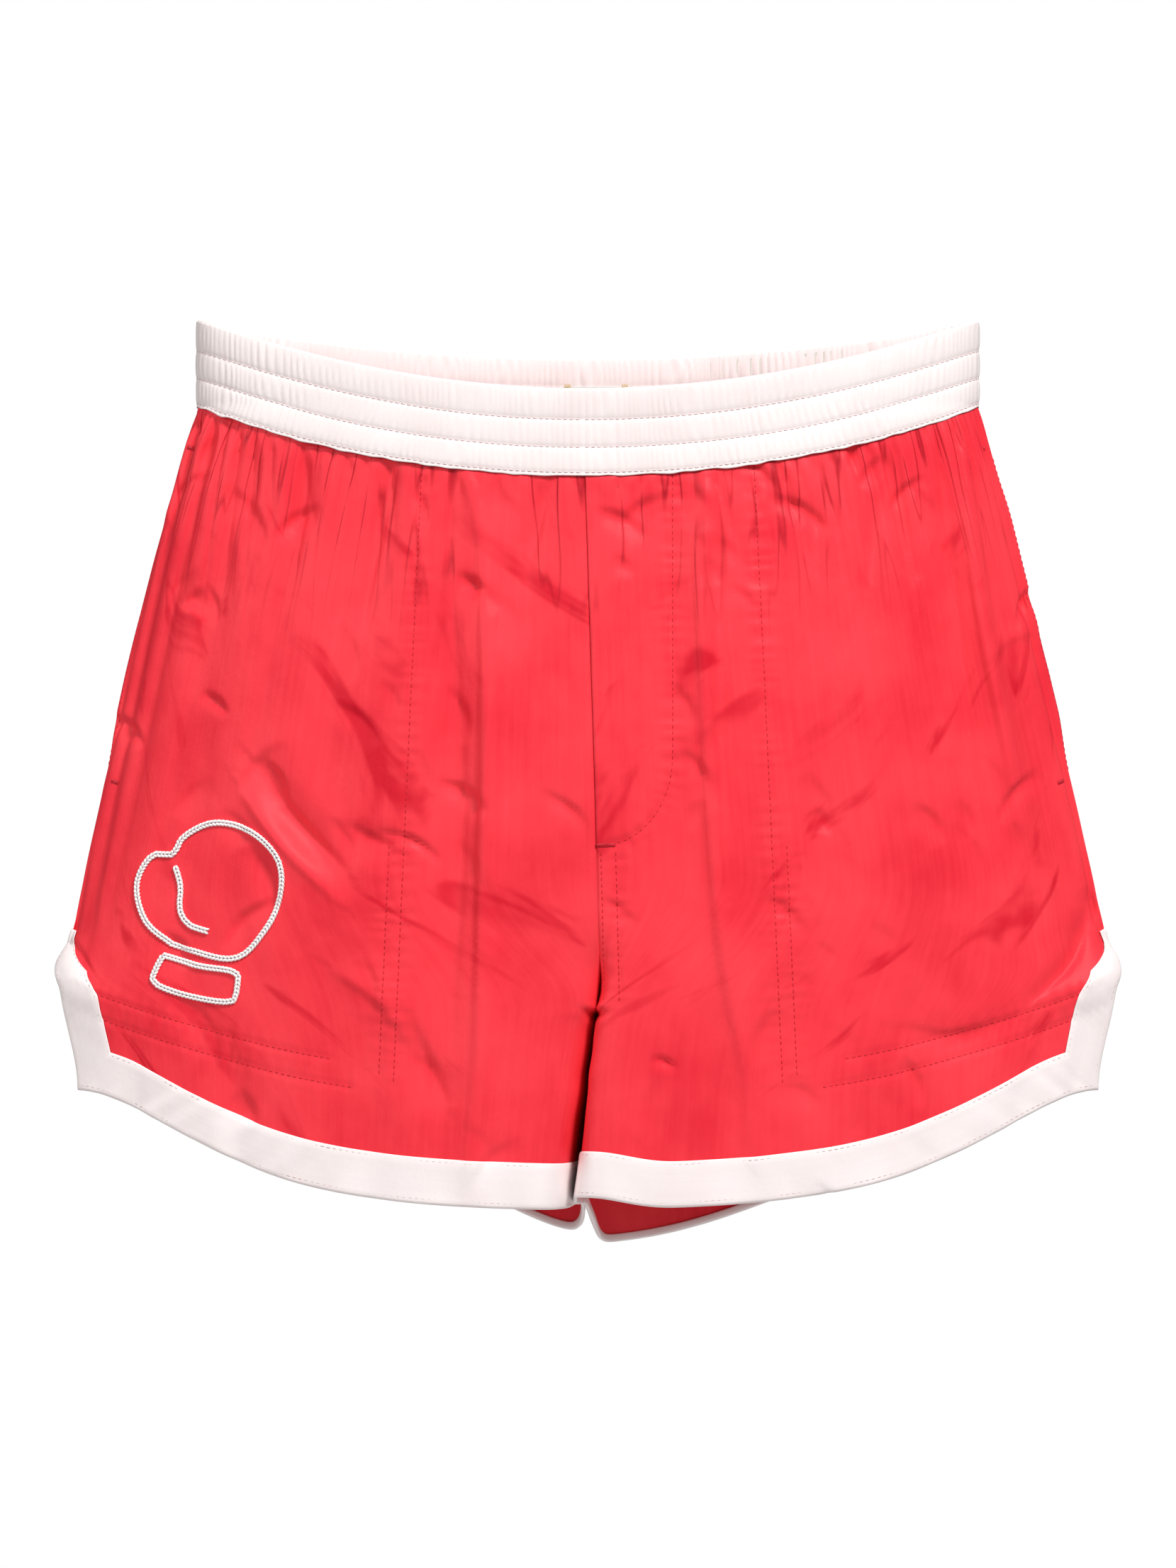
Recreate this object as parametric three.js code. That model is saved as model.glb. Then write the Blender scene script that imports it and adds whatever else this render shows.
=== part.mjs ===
// Boxing shorts: a satin shell gathered into an elastic waistband, with side pockets, a mock fly,
// side vents and taped hems. Lengths are in millimetres, +Z is up and the front faces -Y, so +X is
// the wearer's left. The origin is the centre of the waist opening, level with the middle of the
// waistband at the side seams.
//
// Every cloth piece lies on one surface, shellPoint(face, u, z, inset): u runs round the body from
// the centre seam (0) to the side seam (1), z is the height, and inset is how far inside the outer
// face of the cloth the point lies. The surface is one flattened tube above the crotch, and it
// pinches in at the centre seam to become two leg tubes below it.
import * as THREE from "three";

// Waist and waistband
const WAIST_HALF_WIDTH = 187;
const WAIST_HALF_DEPTH = 42;
const BAND_HEIGHT = 41;
const BAND_SIDE_BOTTOM_Z = -20;
const FRONT_DIP = 36;
const BACK_DIP = 15;
const CASING_HALF_THICKNESS = 2.2;
const CASING_WALL = 1.2;
const ELASTIC_HEIGHT = 9.5;
const ELASTIC_HALF_THICKNESS = 0.55;
const RING_STATIONS = 36;
const CHANNELS = ["bottom", "middle", "top"];

// Shell
const CLOTH = 1.4;
const LINING = 1.0;
const GAP = 0.3;
const PLY_GAP = 1.1;
const FLARE = 67;
const FLARE_END_Z = -295;
const FULLNESS = 19;
const SEAT_FULLNESS = 8;
const SEAT_CURVE_Z = -230;
const CROTCH_Z = -312;
const LEG_PARTING = 0.04;
const HEM_CENTRE_Z = -402;
const HEM_SIDE_RISE = 54;
const BACK_DROOP = 25;
const BACK_DROOP_END = 0.34;

// The line where each leg section meets the seat section, from the crotch up to the side seam
const CREASE_CENTRE_Z = -306;
const CREASE_RISE = 94;
const CREASE_RISE_END = 0.45;
const CREASE_GAP = 3;

// Side vents and hem tapes
const VENT_TOP_Z = -275;
const VENT_SPREAD = 0.06;
const TAPE_WIDTH = 21;
const TAPE = 1.0;
const TAPE_VENT_SHARE = 0.15;

// Pockets
const POCKET_INNER_X = 80;
const POCKET_SPREAD = 17;
const POCKET_DEPTH = 11;
const POCKET_EASE = 5;
const POCKET_TOP_GAP = 4;
const POCKET_ABOVE_HEM = 50;
const POCKET_CREASE_GAP = 22;
const MOUTH_TOP_Z = -46;
const MOUTH_BOTTOM_Z = -196;
const MOUTH_OPENING = 10;

// Mock fly, bar tacks and label
const FLY_WIDTH = 40;
const FLY_BOTTOM_Z = -231;
const FLY_BEND = 42;
const TACK_LENGTH = 10;
const TACK_WIDTH = 2;
const TACK = 0.9;
const LABEL_WIDTH = 31;
const LABEL_HEIGHT = 45;
const LABEL = 0.6;
const LABEL_X = 4;
const LABEL_TOP_Z = -9;

// Embroidered boxing glove on the right leg
const EMBLEM_X = -181;
const EMBLEM_Z = -262;
const EMBLEM_TILT = -0.22;
const EMBROIDERY_WIDTH = 2.4;
const EMBROIDERY = 0.8;
const EMBROIDERY_GAP = 1.8;

const FRONT = -1;
const BACK = 1;
const LEFT = 1;
const RIGHT = -1;
const SIDE_NAMES = { [LEFT]: "left", [RIGHT]: "right" };
const FACE_NAMES = { [FRONT]: "front", [BACK]: "back" };
const QUARTER = Math.PI / 2;

const { clamp, lerp, smoothstep } = THREE.MathUtils;

// How far down the shell a height is: 0 at the waistband, 1 where the flare ends.
function down(z) {
  return clamp((BAND_SIDE_BOTTOM_Z - z) / (BAND_SIDE_BOTTOM_Z - FLARE_END_Z), 0, 1);
}

function halfWidth(z) {
  return WAIST_HALF_WIDTH + FLARE * down(z) ** 0.82;
}

function halfDepth(face, z) {
  const seat = face === BACK ? SEAT_FULLNESS * Math.sin(Math.PI * down(z)) : 0;
  return WAIST_HALF_DEPTH + FULLNESS * smoothstep(down(z), 0, 0.6) + seat;
}

// 1 gives an elliptical section; the lower cloth is creased at its seams, which takes more.
function creasing(z) {
  return 1 + 0.7 * smoothstep(down(z), 0, 0.9);
}

// How far the shell is pinched in at the centre seam: 0 above the seat curve, 1 in the legs.
function pinch(z, inset) {
  return clamp((SEAT_CURVE_Z - z) / (SEAT_CURVE_Z - CROTCH_Z - inset), 0, 1);
}

function innerEdge(z, inset) {
  return GAP + LEG_PARTING * Math.max(0, CROTCH_Z - z) + (inset + 0.8) * pinch(z, inset) ** 3;
}

function shellPoint(face, u, z, inset) {
  const pinched = pinch(z, inset);
  const middle = pinched / (1 + pinched);
  const start = -Math.asin(pinched);
  const angle = lerp(start, QUARTER, u);
  const inner = innerEdge(z, inset);
  const across = middle + (1 - middle) * Math.sin(angle);
  const x = lerp(inner, halfWidth(z) - inset, across);
  const bulge = Math.max(0, Math.cos(angle)) ** creasing(z);
  return new THREE.Vector3(x, face * (GAP / 2 + (halfDepth(face, z) - inset) * bulge), z);
}

// The u at which the shell has a given x.
function shareAt(x, z, inset) {
  const pinched = pinch(z, inset);
  const middle = pinched / (1 + pinched);
  const inner = innerEdge(z, inset);
  const across = (x - inner) / (halfWidth(z) - inset - inner);
  const start = -Math.asin(pinched);
  const angle = Math.asin(clamp((across - middle) / (1 - middle), -1, 1));
  return (angle - start) / (QUARTER - start);
}

function waistSeamZ(face, u) {
  const dip = face === FRONT ? FRONT_DIP : BACK_DIP;
  return BAND_SIDE_BOTTOM_Z - GAP - dip * Math.cos(QUARTER * u) ** 2;
}

function creaseZ(u) {
  return CREASE_CENTRE_Z + CREASE_RISE * Math.sin(QUARTER * Math.min(1, u / CREASE_RISE_END));
}

function hemZ(face, u) {
  const rise = HEM_SIDE_RISE * Math.sin(QUARTER * u) ** 3.8;
  const inseamShare = clamp(u / BACK_DROOP_END, 0, 1);
  const droop = face === BACK ? BACK_DROOP * Math.sin(Math.PI * inseamShare ** 0.7) : 0;
  return HEM_CENTRE_Z + rise - droop;
}

// The u of the cloth's outer edge: the side seam, which splays open below the vent's top.
function ventEdge(z) {
  return 1 - VENT_SPREAD * clamp((VENT_TOP_Z - z) / (VENT_TOP_Z - hemZ(FRONT, 1)), 0, 1);
}

// The front panel stops short of the side seam along the pocket mouth.
function mouthEdge(z) {
  if (z > MOUTH_TOP_Z || z < MOUTH_BOTTOM_Z) return 1;
  const depth = halfDepth(FRONT, z);
  const angle = Math.acos((MOUTH_OPENING / depth) ** (1 / creasing(z)));
  return angle / QUARTER;
}

// Turns the faces of a closed geometry outwards.
function facingOut(geometry) {
  const at = geometry.attributes.position;
  const index = geometry.index.array;
  const [a, b, c] = [new THREE.Vector3(), new THREE.Vector3(), new THREE.Vector3()];
  let volume = 0;
  for (let i = 0; i < index.length; i += 3) {
    a.fromBufferAttribute(at, index[i]);
    b.fromBufferAttribute(at, index[i + 1]);
    c.fromBufferAttribute(at, index[i + 2]);
    volume += a.dot(b.cross(c));
  }
  if (volume < 0) {
    for (let i = 0; i < index.length; i += 3) {
      [index[i + 1], index[i + 2]] = [index[i + 2], index[i + 1]];
    }
  }
  return geometry;
}

// A closed solid from point(i, j), a grid that wraps round in i where it is closed that way.
function gridSolid(columns, rows, point, closedRound = false) {
  const positions = [];
  const index = [];
  const across = closedRound ? columns : columns + 1;
  for (let layer = 0; layer < 2; layer++) {
    for (let j = 0; j <= rows; j++) {
      for (let i = 0; i < across; i++) positions.push(...point(i, j, layer).toArray());
    }
  }
  const at = (i, j, layer) => (layer * (rows + 1) + j) * across + (i % across);
  const quad = (a, b, c, d) => index.push(a, b, c, a, c, d);
  for (let i = 0; i < columns; i++) {
    for (let j = 0; j < rows; j++) {
      quad(at(i, j, 0), at(i + 1, j, 0), at(i + 1, j + 1, 0), at(i, j + 1, 0));
      quad(at(i, j + 1, 1), at(i + 1, j + 1, 1), at(i + 1, j, 1), at(i, j, 1));
    }
    quad(at(i, 0, 0), at(i, 0, 1), at(i + 1, 0, 1), at(i + 1, 0, 0));
    quad(at(i, rows, 1), at(i, rows, 0), at(i + 1, rows, 0), at(i + 1, rows, 1));
  }
  for (let j = 0; j < rows && !closedRound; j++) {
    quad(at(0, j, 1), at(0, j, 0), at(0, j + 1, 0), at(0, j + 1, 1));
    quad(at(columns, j, 0), at(columns, j, 1), at(columns, j + 1, 1), at(columns, j + 1, 0));
  }
  const geometry = new THREE.BufferGeometry();
  geometry.setAttribute("position", new THREE.Float32BufferAttribute(positions, 3));
  geometry.setIndex(index);
  return facingOut(geometry);
}

// A cloth patch: edge(share across, share down) gives u and z, and both faces follow the shell.
function patch(face, side, columns, rows, edge, insetAt, thickness) {
  return gridSolid(columns, rows, (i, j, layer) => {
    const [a, b] = [i / columns, j / rows];
    const { u, z } = edge(a, b);
    const point = shellPoint(face, u, z, insetAt(a, b) + layer * thickness);
    point.x *= side;
    return point;
  });
}

const MATERIALS = {
  satinRed: { color: 0xe8202c, roughness: 0.38, metalness: 0 },
  satinPink: { color: 0xf4e4e2, roughness: 0.42, metalness: 0 },
  elastic: { color: 0xf2efe8, roughness: 0.85, metalness: 0 },
  lining: { color: 0xd21f2a, roughness: 0.6, metalness: 0 },
  redThread: { color: 0xd01824, roughness: 0.55, metalness: 0 },
  ivoryThread: { color: 0xf3e6e0, roughness: 0.5, metalness: 0 },
  label: { color: 0xe6e4dc, roughness: 0.7, metalness: 0 },
};

const shorts = new THREE.Group();

function add(name, geometry, material) {
  const mesh = new THREE.Mesh(geometry, new THREE.MeshStandardMaterial(MATERIALS[material]));
  mesh.name = name;
  shorts.add(mesh);
}

// A point of the waistband ring, at an angle round it, an offset outwards and a share of its height.
function bandPoint(turn, outwards, height) {
  const direction = new THREE.Vector3(Math.cos(turn), Math.sin(turn), 0);
  const dip = (direction.y < 0 ? FRONT_DIP : BACK_DIP) * direction.y ** 2;
  const normal = new THREE.Vector3(
    direction.x / WAIST_HALF_WIDTH,
    direction.y / WAIST_HALF_DEPTH,
    0,
  ).normalize();
  return new THREE.Vector3(
    direction.x * WAIST_HALF_WIDTH,
    direction.y * WAIST_HALF_DEPTH,
    BAND_SIDE_BOTTOM_Z - dip + height,
  ).addScaledVector(normal, outwards);
}

// Spaces the stations of the ring more closely at its two tight ends.
function ringTurn(share) {
  const turn = 2 * Math.PI * share;
  return turn - 0.28 * Math.sin(2 * turn);
}

// One strip folded down its length: the outer wall, the fold at the top and the inner wall.
function waistbandCasing() {
  const [out, wall] = [CASING_HALF_THICKNESS, CASING_HALF_THICKNESS - CASING_WALL];
  const faces = [
    [[out, 0], [out, BAND_HEIGHT - 1], [-out, BAND_HEIGHT - 1], [-out, 0]],
    [[wall, 0], [wall, BAND_HEIGHT - 1 - CASING_WALL], [-wall, BAND_HEIGHT - 1 - CASING_WALL], [-wall, 0]],
  ];
  const point = (i, j, layer) => bandPoint(ringTurn(i / RING_STATIONS), ...faces[layer][j]);
  add("waistband_casing", gridSolid(RING_STATIONS, 3, point, true), "satinPink");
}

function elastics() {
  const channel = (BAND_HEIGHT - 1 - CASING_WALL) / CHANNELS.length;
  CHANNELS.forEach((name, k) => {
    const bottom = k * channel + (channel - ELASTIC_HEIGHT) / 2;
    const point = (i, j, layer) =>
      bandPoint(
        ringTurn(i / RING_STATIONS),
        layer ? -ELASTIC_HALF_THICKNESS : ELASTIC_HALF_THICKNESS,
        bottom + j * ELASTIC_HEIGHT,
      );
    add("elastic_" + name, gridSolid(RING_STATIONS, 1, point, true), "elastic");
  });
}

// The seat part of a front or back panel, from the waist seam down to the leg crease.
function upperPanel(face, side) {
  const edge = (a, b) => {
    const z = lerp(waistSeamZ(face, 1), creaseZ(1), b);
    const u = a * (face === FRONT ? mouthEdge(z) : 1);
    return { u, z: lerp(waistSeamZ(face, u), creaseZ(u), b) };
  };
  const name = `${FACE_NAMES[face]}_panel_${SIDE_NAMES[side]}_upper`;
  add(name, patch(face, side, 15, 10, edge, () => 0, CLOTH), "satinRed");
}

function legEdge(face) {
  return (a, b) => {
    const sideZ = lerp(creaseZ(1), hemZ(face, 1), b);
    const u = a * ventEdge(sideZ);
    return { u, z: lerp(creaseZ(u) - CREASE_GAP, hemZ(face, u), b) };
  };
}

// The leg part of a front or back panel, from the leg crease down to the hem.
function lowerPanel(face, side) {
  const name = `${FACE_NAMES[face]}_panel_${SIDE_NAMES[side]}_lower`;
  add(name, patch(face, side, 18, 8, legEdge(face), () => 0, CLOTH), "satinRed");
}

// One tape, sewn flat on the outside along the hem, mitred at the corner and run up the vent.
function hemTape(face, side) {
  const edge = legEdge(face);
  const along = 18;
  const up = 4;
  const sideLength = creaseZ(1) - hemZ(face, 1);
  const ventStart = (creaseZ(1) - VENT_TOP_Z) / sideLength;
  const tapeShare = (u) => TAPE_WIDTH / (creaseZ(u) - CREASE_GAP - hemZ(face, u));
  const corner = { a: 1 - TAPE_VENT_SHARE, b: 1 - tapeShare(1) };
  const point = (i, j, layer) => {
    const share = j / 2;
    let a = Math.min(1, i / along);
    let b = 1;
    if (i <= along) {
      a *= lerp(corner.a, 1, share);
      b = 1 - tapeShare(a) * (1 - share);
    } else {
      const climb = (i - along) / up;
      a = lerp(lerp(corner.a, 0.97, climb ** 2), 1, share);
      b = lerp(lerp(corner.b, 1, share), ventStart, climb);
    }
    const { u, z } = edge(a, b);
    const spot = shellPoint(face, u, z, -PLY_GAP - layer * TAPE);
    spot.x *= side;
    return spot;
  };
  const name = `hem_tape_${FACE_NAMES[face]}_${SIDE_NAMES[side]}`;
  add(name, gridSolid(along + up, 2, point), "satinPink");
}

// A pocket bag is one layer of lining. It is sewn to the front panel along its inner edge, top and
// bottom, and to the back panel's edge at the side seam, and it is parted at the leg crease.
function pocketBag(side) {
  const belly = (a) => 1 - (2 * a - 1) ** 6;
  const against = CLOTH + PLY_GAP;
  const between = (top, bottom) => (a, b) => {
    const spot = { u: 0.5, z: 0 };
    for (let pass = 0; pass < 12; pass++) {
      spot.z = lerp(top(spot.u), bottom(spot.u), b);
      const inner = POCKET_INNER_X + POCKET_SPREAD * down(spot.z);
      spot.u = lerp(shareAt(inner, spot.z, against), ventEdge(spot.z), a);
    }
    return spot;
  };
  const upper = between(
    (u) => waistSeamZ(FRONT, u) - POCKET_TOP_GAP,
    (u) => creaseZ(u) + GAP,
  );
  const lower = between(
    (u) => creaseZ(u) - POCKET_CREASE_GAP,
    (u) => hemZ(FRONT, u) + POCKET_ABOVE_HEM,
  );
  const upperInset = (a, b) => against + POCKET_DEPTH * belly(a) * Math.min(1, 4 * b);
  const lowerInset = (a, b) => against + POCKET_EASE + POCKET_DEPTH * belly(a) * (1 - b ** 3);
  const name = `pocket_bag_${SIDE_NAMES[side]}_`;
  add(name + "upper", patch(FRONT, side, 9, 5, upper, upperInset, LINING), "lining");
  add(name + "lower", patch(FRONT, side, 9, 4, lower, lowerInset, LINING), "lining");
}

// The facing behind the left front's overlap, with a rounded lower corner.
function flyFacing() {
  const inset = CLOTH + 2 * PLY_GAP;
  const edge = (a, b) => {
    const z = lerp(waistSeamZ(FRONT, 0) - POCKET_TOP_GAP, FLY_BOTTOM_Z, b);
    const bend = clamp((FLY_BOTTOM_Z + FLY_BEND - z) / FLY_BEND, 0, 0.97);
    const width = FLY_WIDTH * Math.sqrt(1 - bend ** 2);
    return { u: shareAt(lerp(GAP, width, a), z, inset), z };
  };
  add("fly_facing", patch(FRONT, LEFT, 3, 12, edge, () => inset, LINING), "lining");
}

// A short dense bar of thread on the outside of a front panel, centred on x and z.
function barTack(name, side, x, z) {
  const edge = (a, b) => {
    const height = z + TACK_WIDTH * (0.5 - b);
    return { u: shareAt(x + TACK_LENGTH * (a - 0.5), height, -GAP), z: height };
  };
  add(name, patch(FRONT, side, 4, 1, edge, () => -GAP - TACK, TACK), "redThread");
}

function barTacks() {
  barTack("bar_tack_fly", LEFT, TACK_LENGTH / 2 + 1, FLY_BOTTOM_Z);
  for (const side of [LEFT, RIGHT]) {
    const name = `bar_tack_pocket_${SIDE_NAMES[side]}_`;
    const inBy = TACK_LENGTH / 2 + 2;
    barTack(name + "top", side, halfWidth(MOUTH_TOP_Z) - inBy, MOUTH_TOP_Z + 5);
    barTack(name + "bottom", side, halfWidth(MOUTH_BOTTOM_Z) - inBy, MOUTH_BOTTOM_Z - 5);
  }
}

// The maker's label hangs by its top edge inside the back of the waistband.
function waistLabel() {
  const geometry = new THREE.BoxGeometry(LABEL_WIDTH, LABEL, LABEL_HEIGHT);
  const wall = WAIST_HALF_DEPTH - CASING_HALF_THICKNESS;
  geometry.translate(LABEL_X, wall - 2 * GAP - LABEL / 2, LABEL_TOP_Z - LABEL_HEIGHT / 2);
  add("waist_label", geometry, "label");
}

// A line of embroidery along a curve drawn flat, laid on the outside of the right front panel.
function embroidery(name, curve, stations, closed) {
  const tangent = new THREE.Vector3();
  const point = (i, j, layer) => {
    const share = closed ? (i % stations) / stations : i / stations;
    const spot = curve.getPointAt(share);
    curve.getTangentAt(share, tangent);
    const across = new THREE.Vector3(-tangent.y, tangent.x, 0);
    spot.addScaledVector(across, EMBROIDERY_WIDTH * (j - 0.5));
    spot.applyAxisAngle(new THREE.Vector3(0, 0, 1), EMBLEM_TILT);
    const [x, z] = [EMBLEM_X + spot.x, EMBLEM_Z + spot.y];
    const inset = -EMBROIDERY_GAP - layer * EMBROIDERY;
    const onShell = shellPoint(FRONT, shareAt(-x, z, inset), z, inset);
    onShell.x *= RIGHT;
    return onShell;
  };
  add(name, gridSolid(stations, 1, point, closed), "ivoryThread");
}

function drawnCurve(points, closed) {
  const path = points.map(([x, y]) => new THREE.Vector3(x, y, 0));
  return new THREE.CatmullRomCurve3(path, closed, "centripetal");
}

function emblem() {
  const mitt = [
    [-13, -20], [-28, -12], [-36, 4], [-32, 19], [-22, 22], [-19, 31],
    [-6, 41], [12, 41], [28, 31], [33, 14], [29, -4], [17, -20],
  ];
  const cuff = [
    [-16, -26], [2, -27], [20, -26], [22, -33], [21, -40],
    [2, -42], [-17, -40], [-18, -33],
  ];
  const thumb = [[-20, 17], [-15, 8], [-13, -3], [-7, -9], [3, -10]];
  embroidery("emblem_mitt", drawnCurve(mitt, true), 36, true);
  embroidery("emblem_cuff", drawnCurve(cuff, true), 24, true);
  embroidery("emblem_thumb", drawnCurve(thumb, false), 12, false);
}

waistbandCasing();
elastics();
for (const side of [LEFT, RIGHT]) {
  for (const face of [FRONT, BACK]) {
    upperPanel(face, side);
    lowerPanel(face, side);
    hemTape(face, side);
  }
  pocketBag(side);
}
flyFacing();
barTacks();
waistLabel();
emblem();

export default shorts;
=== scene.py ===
import math

import bpy
import numpy as np
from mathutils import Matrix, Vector


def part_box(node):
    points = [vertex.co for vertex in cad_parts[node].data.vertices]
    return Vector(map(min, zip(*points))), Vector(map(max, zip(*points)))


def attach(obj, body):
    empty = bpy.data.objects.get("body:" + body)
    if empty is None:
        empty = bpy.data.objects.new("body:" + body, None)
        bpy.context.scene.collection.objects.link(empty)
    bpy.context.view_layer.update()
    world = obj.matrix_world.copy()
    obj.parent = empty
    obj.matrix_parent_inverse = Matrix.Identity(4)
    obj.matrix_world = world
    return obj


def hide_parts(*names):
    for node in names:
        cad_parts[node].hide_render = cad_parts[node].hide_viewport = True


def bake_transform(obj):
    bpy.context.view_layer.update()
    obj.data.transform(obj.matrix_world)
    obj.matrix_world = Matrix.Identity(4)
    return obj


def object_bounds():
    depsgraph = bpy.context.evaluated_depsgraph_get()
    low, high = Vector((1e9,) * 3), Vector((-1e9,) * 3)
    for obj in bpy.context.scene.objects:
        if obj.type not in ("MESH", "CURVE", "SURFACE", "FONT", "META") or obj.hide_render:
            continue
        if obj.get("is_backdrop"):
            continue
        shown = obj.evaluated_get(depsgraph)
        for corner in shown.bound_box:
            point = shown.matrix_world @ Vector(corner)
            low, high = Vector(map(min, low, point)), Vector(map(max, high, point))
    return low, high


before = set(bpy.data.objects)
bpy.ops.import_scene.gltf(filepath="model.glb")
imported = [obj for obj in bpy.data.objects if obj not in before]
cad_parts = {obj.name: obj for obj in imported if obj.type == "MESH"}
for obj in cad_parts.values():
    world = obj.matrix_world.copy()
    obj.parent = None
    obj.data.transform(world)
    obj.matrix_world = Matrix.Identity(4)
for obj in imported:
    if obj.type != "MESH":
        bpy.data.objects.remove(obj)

cad_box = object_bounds()

# Boxing shorts in satin. Every cloth is a grid over a share across, s, from the centre seam (0) to
# the side seam (1), and a share down, t, from the waist seam (0) to the hem (1). The grids start on
# the CAD model's shell surface, the shell is draped by cloth simulation, and then the gathers,
# creases, seams, tapes and stitches are added on it. Lengths are in metres, and the front faces -Y.

FRONT, BACK = -1, 1
LEFT, RIGHT = 1, -1
SIDE_NAMES = {LEFT: "left", RIGHT: "right"}
FACE_NAMES = {FRONT: "front", BACK: "back"}
PANELS = [(face, side) for face in (FRONT, BACK) for side in (LEFT, RIGHT)]
MM = 0.001

# Sizes taken from the frame
CASING_HALF_THICKNESS = 2.2 * MM
band_lo, band_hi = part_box("waistband_casing")
front_hem_lo, front_hem_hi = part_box("front_panel_left_lower")
bag_lo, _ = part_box("pocket_bag_left_lower")
fly_lo, fly_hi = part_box("fly_facing")
label_lo, label_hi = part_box("waist_label")

WAIST_HALF_WIDTH = band_hi.x - CASING_HALF_THICKNESS
WAIST_HALF_DEPTH = band_hi.y - CASING_HALF_THICKNESS
BAND_HEIGHT = 41 * MM
BAND_SIDE_BOTTOM_Z = band_hi.z - BAND_HEIGHT
FRONT_DIP = BAND_SIDE_BOTTOM_Z - band_lo.z
BACK_DIP = 15 * MM
HEM_HALF_WIDTH = front_hem_hi.x
FLARE_END_Z = -295 * MM
HEM_TUCK = 9 * MM
FULLNESS = -front_hem_lo.y - WAIST_HALF_DEPTH
SEAT_FULLNESS = 8 * MM
SEAT_CURVE_Z = -244 * MM
CROTCH_Z = -312 * MM
WALL = 0.12
WALL_EASE = 0.0015
LEG_PARTING = 0.1 * MM
HEM_PARTING = 0.6 * MM
LEG_LAP = 6 * MM
HEM_CENTRE_Z = front_hem_lo.z
HEM_SIDE_RISE = 54 * MM
BACK_DROOP = {LEFT: 23 * MM, RIGHT: 17 * MM}
BACK_DROOP_END = {LEFT: 0.28, RIGHT: 0.13}
FRONT_LIFT = {LEFT: 6 * MM, RIGHT: 0.0}
CROTCH_ROW_RISE = 48 * MM
TUCK = 3.5 * MM
VENT_TOP_Z = -272 * MM
VENT_SPREAD = {FRONT: 0.19, BACK: 0.22}
VENT_FLARE = {FRONT: 13 * MM, BACK: 2 * MM}
VENT_OPENS = 30 * MM
TAPE_WIDTH = 21 * MM
CLOTH = 0.45 * MM
POCKET_X = bag_lo.x - 14 * MM
POCKET_SPREAD = 17 * MM
POCKET_ABOVE_HEM = 50 * MM
POCKET_ROW_END = 0.965
MOUTH_ROW_SHARE = 0.972
MOUTH_TOP_Z = -46 * MM
MOUTH_BOTTOM_Z = -196 * MM
FLY_WIDTH = fly_hi.x
FLY_BOTTOM_Z = fly_lo.z
FLY_BEND = 42 * MM

# Grids
DRAPE_COLUMNS = 84
DRAPE_ROWS = 112
CROTCH_ROW_SHARE = 0.75
FINE_COLUMNS = 208
FINE_ROWS = 232
PANEL_WIDTH = 195 * MM
SEED = 7

# Gathers, each layer as its pleats' period, reach down and depth: first those that seed the drape.
# Each panel also has so many crinkles, which are short creases.
SOFT_GATHERS = [(24 * MM, 120 * MM, 3.2 * MM), (44 * MM, 260 * MM, 3.6 * MM)]
FINE_GATHERS = [(7 * MM, 16 * MM, 2.3 * MM), (13 * MM, 42 * MM, 3.4 * MM)]
CRINKLES = 90


def lerp(a, b, t):
    return a + (b - a) * t


def smoothstep(x, low, high):
    t = np.clip((x - low) / (high - low), 0, 1)
    return t * t * (3 - 2 * t)


def rise_and_fall(x, low, high, soft):
    return smoothstep(x, low, low + soft) * (1 - smoothstep(x, high - soft, high))


def catmull_rom(values, k, f):
    """The smooth curve through rows k to k + 3 of the values, at a share f between the middle two."""
    a, b, c, d = (values[k + i] for i in range(4))
    return 0.5 * (
        2 * b + (c - a) * f + (2 * a - 5 * b + 4 * c - d) * f**2 + (3 * b - a - 3 * c + d) * f**3
    )


def spline(points, place):
    """The smooth curve through rows of points, at places counted in rows."""
    ends = np.concatenate([2 * points[:1] - points[1:2], points, 2 * points[-1:] - points[-2:-1]])
    k = np.minimum(place.astype(int), len(points) - 2)
    return catmull_rom(ends, k, (place - k).reshape(-1, *([1] * (points.ndim - 1))))


def smooth_line(points, steps):
    """A smooth line through the points, with so many steps from each to the next."""
    points = np.array(points, float)
    return spline(points, np.linspace(0, len(points) - 1, steps * (len(points) - 1) + 1))


def unit(vectors):
    """The vectors with their lengths made 1."""
    return vectors / np.maximum(np.linalg.norm(vectors, axis=-1, keepdims=True), 1e-12)


def line_reach(points):
    """How far along a line each of its points is."""
    return np.concatenate([[0], np.cumsum(np.linalg.norm(np.diff(points, axis=0), axis=-1))])


def read_off(place, reach, values):
    """Columns of values that are known at reach, read off at each place."""
    return np.stack([np.interp(place, reach, column) for column in values.T], -1)


def wander(x, spacing, rng):
    """A smooth random function of x, between about -1 and 1, with a new value every spacing."""
    x = np.asarray(x, float)
    place = (x - x.min()) / spacing
    values = np.clip(rng.standard_normal(int(place.max()) + 5) * 0.6, -1, 1)
    k = place.astype(int)
    return catmull_rom(values, k, place - k)


# -------- the camera, floor and light
WORLD_LIGHT = 0.25
LIGHT_AIM = Vector((0, 0, -0.2))
VIEW_DISTANCE = 3.2
VIEW_HEIGHT = 0.754
SENSOR = 36.0
VIEW_CENTRE = Vector((0.0, 0.0, -0.2022))
FLOOR_Z = -0.7
FLOOR_RADIUS = 2.6


def link(data, name):
    thing = bpy.data.objects.new(name, data)
    bpy.context.scene.collection.objects.link(thing)
    return thing


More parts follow.
